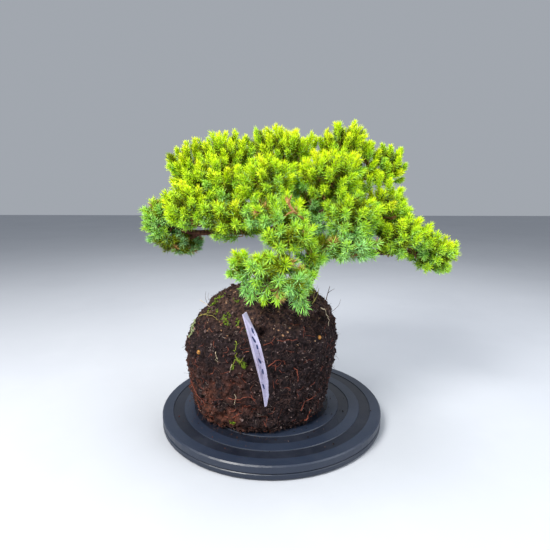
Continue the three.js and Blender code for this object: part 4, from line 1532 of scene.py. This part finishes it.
# %% Hair roots
HAIRS = 1900
rng = np.random.default_rng(51)
points, normals = on_soil(HAIRS, rng, lambda p, n: p[:, 2] > SOIL_BOTTOM + 2 * MM)
along = unit(np.cross(normals, rng.normal(size=points.shape)))
length = rng.uniform(2.5, 7.5, (len(points), 1)) * MM
bend = points + unit(normals + along * 0.6) * length * 0.5
tip = bend + unit(along + normals * rng.uniform(-0.2, 0.7, (len(points), 1)) - [0, 0, 0.25]) * length * 0.6
tip[:, 2] = np.maximum(tip[:, 2], SOIL_BOTTOM + 0.3 * MM)
hair_lines = np.stack([points - normals * 0.4 * MM, bend, tip], axis=1)
piece("hair_roots", *stems(hair_lines, 5, 0.17 * MM, 0.09 * MM), ROOT_MATERIALS["dark"], "peat_and_roots")

# %% Fringe at the foot
FRINGE = 420
FRINGE_TRIES = 60000  # most points fall too high
rng = np.random.default_rng(52)


def at_foot(points, normals):
    """Which points lie on the wall's lowest band and face sideways."""
    return (points[:, 2] < SOIL_BOTTOM + 6 * MM) & (normals[:, 2] > -0.3) & (np.abs(normals[:, 2]) < 0.8)


points, normals = on_soil(FRINGE_TRIES, rng, at_foot)
points, normals = points[:FRINGE], normals[:FRINGE]
along = unit(np.cross(normals, rng.normal(size=points.shape)))
reach = rng.uniform(2.0, 7.5, (len(points), 1)) * MM
bend = points + unit(normals + along * 0.8) * reach * 0.5
tip = bend + unit(normals * 0.7 + along - [0, 0, 0.6]) * reach * 0.6
fringe_lines, _ = point_on(np.stack([points - normals * MM, bend, tip], axis=1), np.linspace(0, 1, 6))
fringe_lines[..., 2] = np.maximum(fringe_lines[..., 2], TABLE_TOP + 0.35 * MM)
thick = rng.uniform(0.14, 0.34, (len(points), 1)) * np.linspace(1.1, 0.5, 6)[None] * MM
piece("foot_fringe", *tubes(fringe_lines, thick), ROOT_MATERIALS["dark"], "peat_and_roots")

# %% Bark flakes on the mound
FLAKE_TONES = ((0.060, 0.028, 0.016), (0.200, 0.105, 0.055), (0.420, 0.290, 0.180))
FLAKY = mottled("bark_flakes", 0.8, 0.25, 130.0, FLAKE_TONES, (900.0, 3.0, 0.3, 0.3 * MM))
# places of the larger chips, in mm from the turntable's top
CHIPS = [
    (-46.9, -44.5, 130.9),
    (8.7, -71.2, 125.1),
    (41.2, -53.1, 123.9),
    (18.2, -75.8, 114.5),
    (27.3, -65.9, 122.5),
    (-9.6, -70.1, 128.7),
]
FLAKES = 520
rng = np.random.default_rng(53)
points, normals = on_soil(
    TRIES * FLAKES, rng, lambda p, n: (p[:, 2] > SOIL_BOTTOM + 95 * MM) & (n[:, 2] > 0.1)
)
points, normals = points[:FLAKES], normals[:FLAKES]
chip_points, chip_normals = nearest_on(soil_tree, from_table(CHIPS))
points = np.concatenate([chip_points, points])
normals = np.concatenate([chip_normals, normals])
turns = square_turns(unit(normals + rng.normal(0, 0.35, normals.shape)))
sizes = rng.gamma(2.0, 0.75, (len(points), 1)).clip(0.6, 3.6) * rng.uniform(0.6, 1.2, (len(points), 3))
sizes = sizes * [[1.3, 0.8, 0.45]] * MM
sizes[: len(CHIPS)] = np.array([2.6, 2.1, 1.1]) * MM
flakes = copies(CRUMB, points + normals * 0.3 * MM, turns, sizes)
piece("bark_flakes", *flakes, FLAKY, "peat_and_roots")

# %% Crumbs on the plate
FALLEN = 420
PLATE_EDGE = 122 * MM  # no crumb lies farther out than this
ABOVE_PLATE = 50 * MM
rng = np.random.default_rng(54)
plate_tree = tree_of(NODES["turntable_top_plate"])
ball_middle = np.array(tuple(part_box("root_ball")[0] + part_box("root_ball")[1])) / 2
angle = rng.uniform(0, 2 * math.pi, FALLEN)
spread = (72 + rng.gamma(1.3, 8.0, FALLEN)) * MM
spots = np.stack([ball_middle[0] + spread * np.cos(angle), ball_middle[1] + spread * np.sin(angle)], axis=1)
spots = spots[np.linalg.norm(spots, axis=1) < PLATE_EDGE]
down = Vector((0, 0, -1))
heights = np.array([plate_tree.ray_cast(Vector((x, y, ABOVE_PLATE)), down)[0].z for x, y in spots])
sizes = rng.gamma(2.0, 0.32, (len(spots), 1)).clip(0.25, 1.8) * rng.uniform(0.7, 1.2, (len(spots), 3)) * MM
places = np.column_stack([spots, heights + sizes.min(axis=1) * 0.42])
fallen = copies(CRUMB, places, random_turns(len(spots), rng), sizes)
piece("crumbs_on_plate", *fallen, CRUMBLY, "peat_and_roots")

# %% [markdown]
# ## Floor, light and camera
# A pale floor and soft light from large panels, as in a plain studio. The main panel stands high on
# the left, as the light does where the tree was seen. The camera is low and close, so the turntable
# looks wide.

# %% Floor
FLOOR_TONES = ((0.40, 0.42, 0.46), (0.42, 0.44, 0.48), (0.44, 0.46, 0.50))
bpy.ops.mesh.primitive_plane_add(size=8, location=(0, 0, 0))
floor = bpy.context.active_object
floor.name = "pale_floor"
floor.data.materials.append(mottled("pale_floor", 0.55, 0.5, 3.0, FLOOR_TONES))
floor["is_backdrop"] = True


# %% Lights
def panel(name, place, target, size, power, colour=(1, 1, 1)):
    bpy.ops.object.light_add(type="AREA", location=place)
    light = bpy.context.active_object
    light.name = name
    light.data.size = size
    light.data.energy = power
    light.data.color = colour
    light.rotation_euler = (Vector(target) - Vector(place)).to_track_quat("-Z", "Y").to_euler()


MIDDLE = (0.0, 0.0, 0.18)
panel("main_panel", (-0.55, -0.65, 0.95), MIDDLE, 0.45, 25.5, (1.0, 0.98, 0.94))
panel("fill_panel", (0.9, -0.6, 0.5), MIDDLE, 0.8, 10.5, (0.92, 0.96, 1.0))
panel("top_panel", (0.1, 0.3, 1.1), MIDDLE, 0.7, 10.0)
world = bpy.data.worlds.new("studio")
world.use_nodes = True
world.node_tree.nodes["Background"].inputs["Color"].default_value = (0.80, 0.86, 0.95, 1)
world.node_tree.nodes["Background"].inputs["Strength"].default_value = 0.45
bpy.context.scene.world = world
bpy.context.scene.view_settings.view_transform = "Standard"

# %% Camera
CAMERA_PLACE = Vector((0.0, -0.4693, 0.2585))
TURN_RIGHT, TURN_DOWN, ROLL = (math.radians(a) for a in (0.405, 11.197, 0.135))
LENS_MM = 28.145
camera = bpy.data.objects.new("camera", bpy.data.cameras.new("camera"))
bpy.context.scene.collection.objects.link(camera)
camera.data.sensor_width = 36
camera.data.lens = LENS_MM
level = math.cos(TURN_DOWN)
forward = Vector((math.sin(TURN_RIGHT) * level, math.cos(TURN_RIGHT) * level, -math.sin(TURN_DOWN)))
right = forward.cross(Vector((0, 0, 1))).normalized()
up = right.cross(forward)
right, up = right * math.cos(ROLL) + up * math.sin(ROLL), up * math.cos(ROLL) - right * math.sin(ROLL)
camera.matrix_world = Matrix.Translation(CAMERA_PLACE) @ Matrix((right, up, -forward)).transposed().to_4x4()
bpy.context.scene.camera = camera

# %% Sizes, and the end
looks_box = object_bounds()
for label, low, high in (("low", SOLID_BOX[0], looks_box[0]), ("high", SOLID_BOX[1], looks_box[1])):
    print(label, "mm beyond the solids:", [round((b - a) / MM, 1) for a, b in zip(low, high)])
